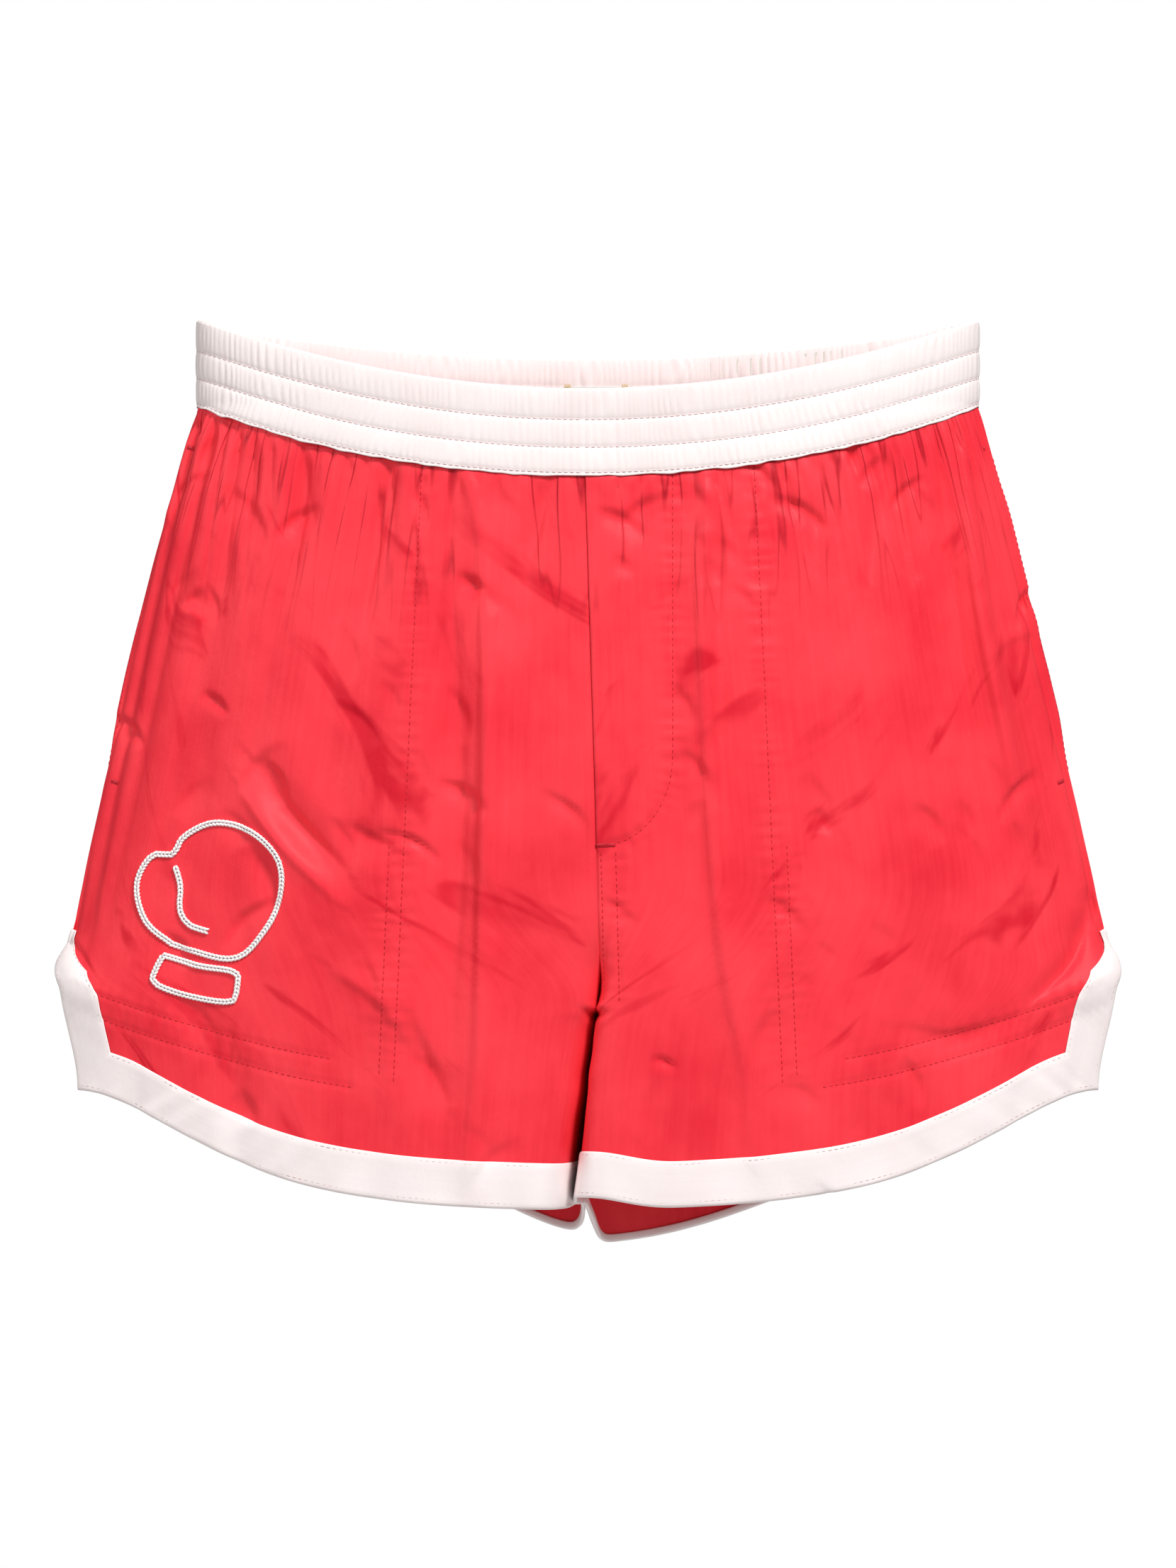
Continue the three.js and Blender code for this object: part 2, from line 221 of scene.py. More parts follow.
class NodeTree:
    """An empty node tree of a material or world, and a short way to add nodes to it."""

    def __init__(self, owner):
        owner.use_nodes = True
        self.tree = owner.node_tree
        self.tree.nodes.clear()

    def add(self, kind, sockets=None, **settings):
        """Adds a node with its settings, and links or sets its sockets."""
        node = self.tree.nodes.new("ShaderNode" + kind)
        for key, value in settings.items():
            setattr(node, key, value)
        for key, value in (sockets or {}).items():
            if isinstance(value, bpy.types.NodeSocket):
                self.tree.links.new(value, node.inputs[key])
            else:
                node.inputs[key].default_value = value
        return node

    def span(self, value, start, end, low=0.0, high=1.0, curve="LINEAR"):
        """The value mapped from start and end to low and high, and held there beyond them."""
        sockets = {"Value": value, "From Min": start, "From Max": end, "To Min": low, "To Max": high}
        return self.add("MapRange", sockets, interpolation_type=curve).outputs["Result"]


def make_camera():
    data = bpy.data.cameras.new("camera")
    data.sensor_width = SENSOR
    data.lens = SENSOR * VIEW_DISTANCE / VIEW_HEIGHT
    data.clip_start, data.clip_end = 0.1, 60
    camera = link(data, "camera")
    camera.location = VIEW_CENTRE - Vector((0, VIEW_DISTANCE, 0))
    camera.rotation_euler = (math.pi / 2, 0, 0)
    bpy.context.scene.camera = camera


def area_light(name, place, size, watts):
    data = bpy.data.lights.new(name, "AREA")
    data.shape = "RECTANGLE"
    data.size, data.size_y = size
    data.energy = watts
    lamp = link(data, name)
    lamp.location = place
    lamp.rotation_euler = (LIGHT_AIM - Vector(place)).to_track_quat("-Z", "Y").to_euler()


def make_light():
    world = bpy.data.worlds.new("studio")
    bpy.context.scene.world = world
    tree = NodeTree(world)
    light = tree.add("Background", {"Color": (1.0, 0.99, 0.98, 1), "Strength": WORLD_LIGHT})
    seen = tree.add("Background", {"Color": (1, 1, 1, 1)})
    direct = tree.add("LightPath").outputs["Is Camera Ray"]
    mix = tree.add("MixShader", {"Fac": direct, 1: light.outputs[0], 2: seen.outputs[0]})
    tree.add("OutputWorld", {"Surface": mix.outputs[0]})
    area_light("key", (1.4, -2.0, 2.2), (0.8, 0.8), 112)
    area_light("fill", (-2.2, -2.0, 1.0), (1.2, 1.2), 36)
    area_light("back_light", (0.8, 2.4, 1.2), (1.4, 1.0), 40)
    view = bpy.context.scene.view_settings
    view.view_transform = "Standard"
    view.look = "None"


def make_floor():
    """A pale disc that fades out towards its edge, so that it has no horizon."""
    mesh = bpy.data.meshes.new("floor")
    count = 96
    ring = [
        (FLOOR_RADIUS * math.cos(a), FLOOR_RADIUS * math.sin(a), FLOOR_Z)
        for a in np.arange(count) * 2 * math.pi / count
    ]
    mesh.from_pydata(ring, [], [list(range(count))])
    material = bpy.data.materials.new("pale_floor")
    tree = NodeTree(material)
    place = tree.add("TexCoord").outputs["Object"]
    length = tree.add("VectorMath", {0: place}, operation="LENGTH").outputs["Value"]
    fade = tree.span(length, 0.3, FLOOR_RADIUS * 0.45)
    surface = tree.add("BsdfDiffuse", {"Color": (0.97, 0.965, 0.96, 1)}).outputs[0]
    clear = tree.add("BsdfTransparent").outputs[0]
    mix = tree.add("MixShader", {"Fac": fade, 1: surface, 2: clear})
    tree.add("OutputMaterial", {"Surface": mix.outputs[0]})
    mesh.materials.append(material)
    link(mesh, "floor")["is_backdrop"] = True


make_camera()
make_light()
make_floor()


# -------- the shell surface
def down(z):
    return np.clip((BAND_SIDE_BOTTOM_Z - z) / (BAND_SIDE_BOTTOM_Z - FLARE_END_Z), 0, 1)


def half_width(z):
    tuck = HEM_TUCK * smoothstep(FLARE_END_Z - z, 0, FLARE_END_Z - HEM_CENTRE_Z - HEM_SIDE_RISE)
    return WAIST_HALF_WIDTH + (HEM_HALF_WIDTH - WAIST_HALF_WIDTH) * down(z) ** 0.82 - tuck


def half_depth(face, z):
    seat = np.where(face == BACK, SEAT_FULLNESS * np.sin(np.pi * down(z)), 0)
    return WAIST_HALF_DEPTH + FULLNESS * smoothstep(down(z), 0, 0.6) + seat


SEAM_DOWN = (0.05, 0.21, -CROTCH_Z, -HEM_CENTRE_Z)
SEAM_LEAN = (-1.5 * MM, 3.5 * MM, 6 * MM, -4 * MM)


def centre_line(face, z):
    """The x of the centre seam, which leans to the wearer's left down to the crotch, then back."""
    lean = np.interp(-z, SEAM_DOWN, SEAM_LEAN)
    return lean * np.where(face == FRONT, 1, smoothstep(-z, 0.22, -CROTCH_Z))


def past_wall(s):
    """The share across a leg's front, with the cloth that forms its inner wall left out."""

    def eased(share):
        return 0.5 * (share - WALL + np.sqrt((share - WALL) ** 2 + WALL_EASE))

    return (eased(s) - eased(0.0)) / (eased(1.0) - eased(0.0))


def shell(face, side, s, z, inset=0.0):
    """The point of the shell at share across s and height z, inset from its outer face."""
    pinch = np.clip((SEAT_CURVE_Z - z) / (SEAT_CURVE_Z - CROTCH_Z), 0, 1)
    angle = np.pi / 2 * lerp(s, past_wall(s), smoothstep(pinch, 0, 1))
    across = np.sin(angle)
    parting = LEG_PARTING + HEM_PARTING * smoothstep(CROTCH_Z - z, 20 * MM, 70 * MM)
    inner = parting * smoothstep(pinch, 0.8, 1) + inset * pinch**3
    flare = np.where(face == FRONT, VENT_FLARE[FRONT], VENT_FLARE[BACK])
    flare = flare * smoothstep(VENT_TOP_Z - z, 0, VENT_OPENS) * smoothstep(s, 0.5, 0.8)
    creasing = 1 + 0.45 * smoothstep(down(z), 0, 0.9)
    wall = np.sin(np.pi / 2 * np.clip(s / (1.3 * WALL), 0, 1)) ** 0.6
    depth = np.maximum(0, np.cos(angle)) ** creasing * lerp(wall, 1, np.sqrt(1 - pinch**3))
    slant = centre_line(face, z) + face * LEG_LAP * depth * smoothstep(CROTCH_Z - z, -20 * MM, 10 * MM)
    x = side * (lerp(inner, half_width(z) - inset, across) + flare) + slant * (1 - across) ** 3
    y = face * (half_depth(face, z) - inset) * depth
    return np.stack(np.broadcast_arrays(x, y, z), -1)


def waist_z(face, s):
    dip = np.where(face == FRONT, FRONT_DIP, BACK_DIP)
    return BAND_SIDE_BOTTOM_Z - dip * np.cos(np.pi / 2 * s) ** 2


def crotch_row_z(s):
    return CROTCH_Z + CROTCH_ROW_RISE * np.sin(np.pi / 2 * s) ** 2


def hem_z(face, side, s):
    rise = HEM_SIDE_RISE * np.sin(np.pi / 2 * s) ** 3.8
    if face == FRONT:
        return HEM_CENTRE_Z + rise + FRONT_LIFT[side] * rise_and_fall(s, 0.0, 0.22, 0.09)
    past = np.clip((s - WALL) / BACK_DROOP_END[side], 0, 1)
    droop = BACK_DROOP[side] * np.cos(np.pi / 2 * past) ** 1.4 * smoothstep(s, 0, WALL)
    return HEM_CENTRE_Z + rise - droop


def height(face, side, s, t):
    """The height at share across s and share down t: the crotch is always on one row."""
    below = (t - CROTCH_ROW_SHARE) / (1 - CROTCH_ROW_SHARE)
    upper = lerp(waist_z(face, s) + TUCK, crotch_row_z(s), t / CROTCH_ROW_SHARE)
    lower = lerp(crotch_row_z(s), hem_z(face, side, s), below)
    return np.where(t < CROTCH_ROW_SHARE, upper, lower)


def splay(face, side, s, t):
    """The share across, with the cloth's outer edge splayed open below the top of the vent."""
    opening = smoothstep(VENT_TOP_Z - height(face, side, 1.0, t), 0, VENT_OPENS)
    return s * (1 - VENT_SPREAD[face] * opening * smoothstep(s, 0.3, 1))


def grid(columns, rows):
    s, t = np.meshgrid(np.linspace(0, 1, columns), np.linspace(0, 1, rows))
    return s, t


def shell_grid(face, side, columns, rows, inset=0.0):
    s, t = grid(columns, rows)
    return shell(face, side, splay(face, side, s, t), height(face, side, s, t), inset)


# -------- folds
# Long soft folds and creases of the front, each as its points (x, z), its half-width and its
# depth, in millimetres. A positive depth is a ridge and a negative one is a valley.
FRONT_FOLDS = [
    ([(-57, -60), (-51, -90), (-49, -180), (-51, -260), (-53, -333), (-58, -385)], 5, 4.0),
    ([(-66, -90), (-62, -160), (-60, -230), (-66, -330)], 7, -2.6),
    ([(56, -54), (52, -89), (54, -150), (58, -230), (64, -290), (74, -340), (77, -380)], 5, 4.2),
    ([(64, -80), (63, -150), (66, -250)], 6, -2.4),
    ([(179, -43), (183, -98), (191, -146), (198, -180), (204, -220)], 5, 3.6),
    ([(171, -60), (176, -120), (186, -190)], 6, -2.6),
    ([(116, -104), (118, -150), (116, -192)], 3, -1.8),
    ([(-155, -40), (-161, -76)], 4, -2.4),
    ([(-133, -48), (-140, -108)], 4, -2.6),
    ([(-91, -46), (-100, -90), (-108, -128)], 5, -2.8),
    ([(-64, -52), (-66, -102)], 3, -2.0),
    ([(-18, -57), (-29, -106)], 4, -2.4),
    ([(1, -57), (-2, -118)], 3, -1.6),
    ([(109, -62), (111, -98)], 4, -2.2),
    ([(140, -60), (135, -106)], 4, -2.4),
    ([(147, -52), (156, -103)], 4, -2.2),
    ([(-158, -193), (-140, -217), (-115, -244)], 7, -4.2),
    ([(-165, -205), (-146, -231), (-118, -258)], 6, 3.0),
    ([(-85, -312), (-76, -332), (-67, -353)], 6, -3.4),
    ([(-114, -222), (-90, -234)], 6, -2.6),
    ([(-120, -290), (-98, -305), (-80, -330)], 7, 2.6),
    ([(240, -262), (234, -285), (216, -303)], 4, -2.6),
    ([(150, -318), (175, -322), (205, -314)], 6, -2.0),
]


def near_line(x, z, line, signed=False):
    """The distance from each point to a line of (x, z) points, and how far along the line it is.

    A signed distance is positive to the left of the line's run."""
    nearest = np.full(np.shape(x), np.inf)
    along = np.zeros(np.shape(x))
    hand = np.ones(np.shape(x))
    start = 0.0
    for (x0, z0), (x1, z1) in zip(line, line[1:]):
        dx, dz = x1 - x0, z1 - z0
        length = math.hypot(dx, dz)
        share = np.clip(((x - x0) * dx + (z - z0) * dz) / length**2, 0, 1)
        gap = np.hypot(x - x0 - share * dx, z - z0 - share * dz)
        closer = gap < nearest
        nearest = np.where(closer, gap, nearest)
        along = np.where(closer, start + share * length, along)
        hand = np.where(closer, np.sign((z - z0) * dx - (x - x0) * dz), hand)
        start += length
    return nearest * (hand if signed else 1), along, start


def front_folds(x, z, steep=1.0):
    total = np.zeros(x.shape)
    for points, wide, deep in FRONT_FOLDS:
        gap, along, length = near_line(x, z, smooth_line(points, 3) * MM, signed=True)
        gap /= wide * MM * np.where(gap * deep > 0, 1.5, steep)
        total += deep * MM * np.exp(-(gap**2)) * (0.3 + 0.7 * np.sin(np.pi * along / length))
    return total


def crinkles(x, z, rng):
    """Short slanting creases, most of them in the upper third."""
    total = np.zeros(x.shape)
    low, high = np.array([x.min(), z.min()]), np.array([x.max(), z.max()])
    for _ in range(CRINKLES):
        across, along, slant, long, wide, deep = rng.random(6)
        centre = lerp(low, high, [across, 1 - along**2.2])
        tilt = math.radians(lerp(25, 80, slant)) * (1 if rng.random() < 0.3 else -1)
        reach = lerp(6, 20, long) * MM
        end = reach * np.array([math.cos(tilt), math.sin(tilt)])
        bend = 0.25 * reach * np.array([-math.sin(tilt), math.cos(tilt)])
        line = smooth_line([centre - end, centre + bend, centre + end], 3)
        gap, place, length = near_line(x, z, line, signed=True)
        deep = lerp(0.8, -2.6, deep)
        gap /= lerp(2.0, 5.0, wide) * MM * np.where(gap * deep > 0, 1.7, 0.5)
        total += deep * MM * np.exp(-(gap**2)) * np.sin(np.pi * place / length)
    return total


def gathers(across, below, rng, layers):
    """Pleats that start at the waist seam: across runs along the seam and below is down from it."""
    total = np.zeros(across.shape)
    line = np.linspace(across.min() - 0.01, across.max() + 0.01, 600)
    for period, reach, deep in layers:
        drift = np.interp(across, line, wander(line, 3 * period, rng))
        slope = np.interp(across, line, wander(line, 5 * period, rng))
        strength = 0.75 + 0.6 * np.interp(across, line, wander(line, 1.7 * period, rng))
        length = 1 + 0.6 * np.interp(across, line, wander(line, 2.3 * period, rng))
        phase = across / period + 0.55 * drift + 0.64 * slope * below / reach
        ridge = np.abs(np.sin(np.pi * phase)) ** 0.6 - 0.7
        fade = np.exp(-((np.maximum(below, 0) / (reach * length)) ** 1.5))
        total += deep * ridge * strength * fade * smoothstep(below, -0.5 * MM, 0.7 * period)
    return total


def outward(points, face, side):
    """Unit normals of a grid of points, pointing out of the garment."""
    return unit(face * side * np.cross(np.gradient(points, axis=1), np.gradient(points, axis=0)))


# -------- seam lines of the fronts
def pocket_x(z):
    share = np.clip((BAND_SIDE_BOTTOM_Z - z) / (BAND_SIDE_BOTTOM_Z - HEM_CENTRE_Z), 0, 1)
    return POCKET_X + POCKET_SPREAD * share


def pocket_edge(side, low, high, offset):
    """A stitch row down the pocket's inner edge, offset towards the side seam."""
    z = np.linspace(high, low, 12)
    return np.stack([side * (pocket_x(z) + offset), z], -1)


def pocket_foot(side, above_hem, start):
    """A stitch row along the pocket's foot, from share start to beside the side seam."""
    s = np.linspace(start, POCKET_ROW_END, 16)
    z = hem_z(FRONT, side, s) + above_hem
    return shell(FRONT, side, s, z)[:, [0, 2]]


def fly_stitch_line():
    """The J-shaped row beside the mock fly."""
    turn = np.linspace(0, np.pi / 2, 10)
    centre_x = centre_line(FRONT, FLY_BOTTOM_Z) + 3 * MM
    bend_x = centre_x + (FLY_WIDTH - centre_x) * np.cos(turn)
    bend_z = FLY_BOTTOM_Z + FLY_BEND * (1 - np.sin(turn))
    top = np.array([[FLY_WIDTH, band_lo.z + 1 * MM]])
    return np.concatenate([top, np.stack([bend_x, bend_z], -1)])


def crotch_row(offset):
    """A stitch row beside the centre seam, from the fly's foot to the crotch."""
    z = np.linspace(FLY_BOTTOM_Z - 3 * MM, CROTCH_Z + 6 * MM, 10)
    return np.stack([centre_line(FRONT, z) + offset, z], -1)


def stitch_rows(side):
    """Every topstitched row of one front panel, as lines of (x, z) points."""
    foot = HEM_CENTRE_Z + POCKET_ABOVE_HEM + 6 * MM
    rows = [
        pocket_edge(side, foot, band_lo.z + 8 * MM, 0),
        pocket_edge(side, foot + 4 * MM, FLY_BOTTOM_Z, 7 * MM),
        pocket_foot(side, POCKET_ABOVE_HEM, 0.385),
        pocket_foot(side, POCKET_ABOVE_HEM + 12 * MM, 0.41),
    ]
    if side == LEFT:
        rows += [fly_stitch_line(), crotch_row(2 * MM), crotch_row(9 * MM)]
    return rows


def fly_share(z):
    """The share of the mock fly's width that is left at height z, above its rounded foot."""
    share_down = np.clip((FLY_BOTTOM_Z + FLY_BEND - z) / FLY_BEND, 0, 1)
    return np.sqrt(1 - share_down**2)


def fly_raise(x, z):
    """The doubled cloth of the mock fly, inside its J-shaped row."""
    gap, _, _ = near_line(x, z, fly_stitch_line())
    inside = (x < FLY_WIDTH * fly_share(z)) & (z > FLY_BOTTOM_Z)
    return 0.5 * MM * smoothstep(np.where(inside, gap, -gap), -0.8 * MM, 0.8 * MM)


def seam_puckers(x, z, rows, rng):
    """The groove that a row of stitches pulls, with small ripples across it."""
    total = np.zeros(x.shape)
    for row in rows:
        gap, along, length = near_line(x, z, row)
        line = np.linspace(-0.001, length + 0.001, 400)
        drift = np.interp(along, line, wander(line, 9 * MM, rng))
        depth = 0.6 + 0.5 * np.interp(along, line, wander(line, 14 * MM, rng))
        ripple = np.sin(2 * np.pi * (along / (6.5 * MM) + 0.5 * drift))
        total -= 0.45 * MM * np.exp(-((gap / (1.3 * MM)) ** 2))
        total += 0.3 * MM * depth * ripple * np.exp(-((gap / (6 * MM)) ** 2))
    return total


# -------- meshes
def grid_faces(rows, columns, flip, wrap=False):
    last = columns if wrap else columns - 1
    j, i = np.meshgrid(np.arange(rows - 1), np.arange(last), indexing="ij")
    a = j * columns + i
    b = j * columns + (i + 1) % columns
    c, d = b + columns, a + columns
    order = (a, d, c, b) if flip else (a, b, c, d)
    return np.stack(order, -1).reshape(-1, 4)


def make_mesh(name, vertices, faces, uv=None):
    """A smooth-shaded mesh in the scene, with the uv of each vertex."""
    mesh = bpy.data.meshes.new(name)
    vertices = np.asarray(vertices, np.float32).reshape(-1, 3)
    faces = np.asarray(faces, np.int32)
    mesh.vertices.add(len(vertices))
    mesh.vertices.foreach_set("co", vertices.ravel())
    corners = faces.shape[1]
    mesh.loops.add(faces.size)
    mesh.loops.foreach_set("vertex_index", faces.ravel())
    mesh.polygons.add(len(faces))
    mesh.polygons.foreach_set("loop_start", np.arange(len(faces), dtype=np.int32) * corners)
    mesh.update(calc_edges=True)
    mesh.validate()
    if uv is not None:
        layer = mesh.uv_layers.new(name="UVMap")
        layer.data.foreach_set("uv", np.asarray(uv, np.float32).reshape(-1, 2)[faces.ravel()].ravel())
    mesh.polygons.foreach_set("use_smooth", np.ones(len(mesh.polygons), bool))
    return link(mesh, name)


def joined(parts):
    """Several (vertices, faces) as one."""
    starts = np.cumsum([0] + [len(vertices) for vertices, _ in parts])
    faces = [corners + start for (_, corners), start in zip(parts, starts)]
    return np.concatenate([vertices for vertices, _ in parts]), np.concatenate(faces)


def thicken(piece, thickness, offset=-1.0):
    solid = piece.modifiers.new("thickness", "SOLIDIFY")
    solid.thickness = thickness
    solid.offset = offset
    solid.use_rim = True


# -------- draping the shell
REST_EASE_TOP = 0.12
REST_EASE_HEM = 0.02
FORM_INSET = 8 * MM
FORM_COLUMNS, FORM_ROWS = 30, 40
DRAPE_FRAMES = 30
DRAPE_CAP = 16 * MM
SATIN_DRAPE = {
    "quality": 5, "mass": 0.0012, "air_damping": 2, "pin_stiffness": 1.0,
    "tension_stiffness": 12, "compression_stiffness": 12,
    "shear_stiffness": 3, "bending_stiffness": 0.02,
    "tension_damping": 4, "compression_damping": 4,
    "shear_damping": 3, "bending_damping": 0.4,
}


def weld_map(columns, rows):
    """Joins the four panels' grid points where they are sewn, and returns each one's vertex."""
    owner = {}
    index = {}
    crotch = round(CROTCH_ROW_SHARE * (rows - 1))
    for face, side in PANELS:
        ids = np.zeros((rows, columns), int)
        for j in range(rows):
            z_side = float(height(face, side, 1.0, j / (rows - 1)))
            sewn = z_side > VENT_TOP_Z and not MOUTH_BOTTOM_Z < z_side < MOUTH_TOP_Z
            for i in range(columns):
                key = (face, side, i, j)
                if i == 0 and j == crotch:
                    key = ("crotch",)
                elif i == 0:
                    key = ("centre", face, j) if j < crotch else ("inseam", side, j)
                elif i == columns - 1 and sewn:
                    key = ("side", side, j)
                ids[j, i] = owner.setdefault(key, len(owner))
        index[face, side] = ids
    return index, len(owner)


def drape_cloth(panels, index, count):
    """The sewn shell as one mesh, with its larger cut in a shape key and its waist held."""
    columns, rows = DRAPE_COLUMNS, DRAPE_ROWS
    s, t = grid(columns, rows)
    start = np.zeros((count, 3))
    cut = np.zeros((count, 3))
    held = np.zeros(count, bool)
    faces = []
    for (face, side), points in panels.items():
        ids = index[face, side]
        ease = 1 + REST_EASE_TOP * (1 - smoothstep(t, 0.0, 0.8)) + REST_EASE_HEM
        start[ids] = points
        cut[ids] = points * np.stack([ease, ease, np.ones(t.shape)], -1)
        held[ids] |= points[..., 2] > waist_z(face, s) - 0.5 * MM
        faces.append(ids.ravel()[grid_faces(rows, columns, face * side < 0)])
    cloth = make_mesh("drape", start, np.concatenate(faces))
    cloth.shape_key_add(name="start")
    key = cloth.shape_key_add(name="cut")
    key.data.foreach_set("co", cut.astype(np.float32).ravel())
    group = cloth.vertex_groups.new(name="held")
    group.add(np.nonzero(held)[0].tolist(), 1.0, "REPLACE")
    return cloth, key, start


def body_form():
    """A hidden form inside the shorts that the cloth lies on."""
    parts = []
    for face, side in PANELS:
        points = shell_grid(face, side, FORM_COLUMNS, FORM_ROWS, FORM_INSET)
        parts.append((points.reshape(-1, 3), grid_faces(FORM_ROWS, FORM_COLUMNS, face * side < 0)))
    form = make_mesh("form", *joined(parts))
    form.modifiers.new("collision", "COLLISION")
    form.collision.thickness_outer = 1.0 * MM
    form.collision.thickness_inner = 20 * MM
    form.collision.cloth_friction = 4.0
    return form


def drape(panels):
    """Drapes the sewn shell over the body form, held at the waist seam."""
    index, count = weld_map(DRAPE_COLUMNS, DRAPE_ROWS)
    cloth, cut, start = drape_cloth(panels, index, count)
    form = body_form()
    modifier = cloth.modifiers.new("cloth", "CLOTH")
    for name, value in SATIN_DRAPE.items():
        setattr(modifier.settings, name, value)
    modifier.settings.vertex_group_mass = "held"
    modifier.settings.rest_shape_key = cut
    modifier.collision_settings.collision_quality = 2
    modifier.collision_settings.distance_min = 1.0 * MM
    modifier.collision_settings.use_self_collision = False
    modifier.point_cache.frame_start = 1
    modifier.point_cache.frame_end = DRAPE_FRAMES
    for number in range(1, DRAPE_FRAMES + 1):
        bpy.context.scene.frame_set(number)
    evaluated = cloth.evaluated_get(bpy.context.evaluated_depsgraph_get())
    moved = np.zeros(count * 3, np.float32)
    evaluated.data.vertices.foreach_get("co", moved)
    bpy.context.scene.frame_set(1)
    for piece in (cloth, form):
        mesh = piece.data
        bpy.data.objects.remove(piece)
        bpy.data.meshes.remove(mesh)
    step = moved.reshape(-1, 3) - start
    far = np.linalg.norm(step, axis=-1, keepdims=True)
    moved = start + step * np.minimum(1, DRAPE_CAP / np.maximum(far, 1e-9))
    return {key: settled(moved[ids], start[ids]) for key, ids in index.items()}


def settled(moved, start):
    """One draped panel, softened a little, with its inseam and vent edge put back in place."""
    for _ in range(2):
        for axis in (0, 1):
            rolled = np.roll(moved, 1, axis) + np.roll(moved, -1, axis)
            softer = (2 * moved + rolled) / 4
            inside = [slice(None)] * 3
            inside[axis] = slice(1, -1)
            moved[tuple(inside)] = softer[tuple(inside)]
    s, t = grid(DRAPE_COLUMNS, DRAPE_ROWS)
    sideways = smoothstep(t, CROTCH_ROW_SHARE - 0.03, CROTCH_ROW_SHARE) * (1 - smoothstep(s, 0, 0.4))
    inwards = smoothstep(t, 0.55, CROTCH_ROW_SHARE) * (1 - smoothstep(s, 0, 0.12))
    inseam = (start - moved)[:, :1] * np.stack([sideways, inwards, 0 * s], -1)
    in_vent = smoothstep(VENT_TOP_Z + 6 * MM - start[:, -1:, 2], 0, 30 * MM)
    vent = (start - moved)[:, -1:] * (in_vent * smoothstep(s, 0.7, 1))[..., None]
    return moved + inseam + vent


def coarse_panels():
    """The shell before draping: its surface with long soft folds as seeds for the drape."""
    rng = np.random.default_rng(SEED)
    s, t = grid(DRAPE_COLUMNS, DRAPE_ROWS)
    panels = {}
    for face, side in PANELS:
        points = shell_grid(face, side, DRAPE_COLUMNS, DRAPE_ROWS)
        below = waist_z(face, s) - points[..., 2]
        lift = gathers(s * PANEL_WIDTH, below, rng, SOFT_GATHERS)
        if face == FRONT:
            lift += front_folds(points[..., 0], points[..., 2])
        edges = rise_and_fall(s, 0, 1, 0.05) * smoothstep(below, 0, 8 * MM)
        panels[face, side] = points + outward(points, face, side) * (lift * edges)[..., None]
    return panels


def resampled(points, wanted, axis):
    """A grid of points with its number of points along one axis changed."""
    points = np.moveaxis(points, axis, 0)
    return np.moveaxis(spline(points, np.linspace(0, len(points) - 1, wanted)), 0, axis)


HEM_ROWS = 13


class Panel:
    """A panel's fine grid, which gives the point and normal at any share across and down."""

    def __init__(self, face, side, points):
        self.face, self.side, self.points = face, side, points
        self.normals = outward(points, face, side)
        self.reach_across = np.linalg.norm(np.diff(points, axis=1), axis=-1).sum(1)
        self.reach_down = np.linalg.norm(np.diff(points, axis=0), axis=-1).sum(0)
        rows = len(points)
        near_hem = np.linalg.norm(points[-1] - points[-1 - HEM_ROWS], axis=-1)
        self.hem_reach = near_hem * (rows - 1) / HEM_ROWS
        steps = np.linalg.norm(np.diff(points[:, ::-1], axis=1), axis=-1)
        self.side_reach = np.concatenate([np.zeros((rows, 1)), np.cumsum(steps, 1)], 1)

    def above_hem(self, s, distance):
        """The share down that is a distance above the hem, at shares across s."""
        reach = np.interp(s, np.linspace(0, 1, len(self.hem_reach)), self.hem_reach)
        return 1 - distance / lerp(reach, self.hem_reach[-1], smoothstep(s, 0.7, 0.85))

    def share_down(self, z):
        """The share down at which the side edge is at height z."""
        return np.interp(-z, -self.points[:, -1, 2], np.linspace(0, 1, FINE_ROWS))

    def inside_edge(self, t, distance):
        """The share across that is a distance inside the side edge, at shares down t."""
        rows, columns = self.side_reach.shape
        across = np.linspace(1, 0, columns)
        shares = [np.interp(distance, reach, across) for reach in self.side_reach]
        return np.interp(t, np.linspace(0, 1, rows), shares)

    def at(self, s, t, lift=0.0):
        s, t, lift = np.broadcast_arrays(*(np.asarray(v, float) for v in (s, t, lift)))
        rows, columns, _ = self.points.shape
        x = np.clip(s, 0, 1) * (columns - 1)
        y = np.clip(t, 0, 1) * (rows - 1)
        i = np.minimum(x.astype(int), columns - 2)
        j = np.minimum(y.astype(int), rows - 2)
        fx, fy = (x - i)[..., None], (y - j)[..., None]

        def mix(values):
            top = lerp(values[j, i], values[j, i + 1], fx)
            bottom = lerp(values[j + 1, i], values[j + 1, i + 1], fx)
            return lerp(top, bottom, fy)

        normal = unit(mix(self.normals))
        return mix(self.points) + normal * lift[..., None], normal

    def find(self, line):
        """The shares (s, t) of points (x, z) on the panel, as it is seen from the front or back."""
        flat = self.points[..., [0, 2]]
        rows, columns, _ = flat.shape
        shares = []
        for place in np.atleast_2d(line):
            distance = ((flat - place) ** 2).sum(-1)
            j, i = np.unravel_index(np.argmin(distance), distance.shape)
            i, j = np.clip(i, 1, columns - 2), np.clip(j, 1, rows - 2)
            across = (flat[j, i + 1] - flat[j, i - 1]) / 2
            along = (flat[j + 1, i] - flat[j - 1, i]) / 2
            gap = place - flat[j, i]
            step = np.linalg.lstsq(np.stack([across, along], -1), gap, rcond=None)[0]
            step = np.clip(step, -1.5, 1.5)
            shares.append(((i + step[0]) / (columns - 1), (j + step[1]) / (rows - 1)))
        return np.clip(np.array(shares), 0, 1).T


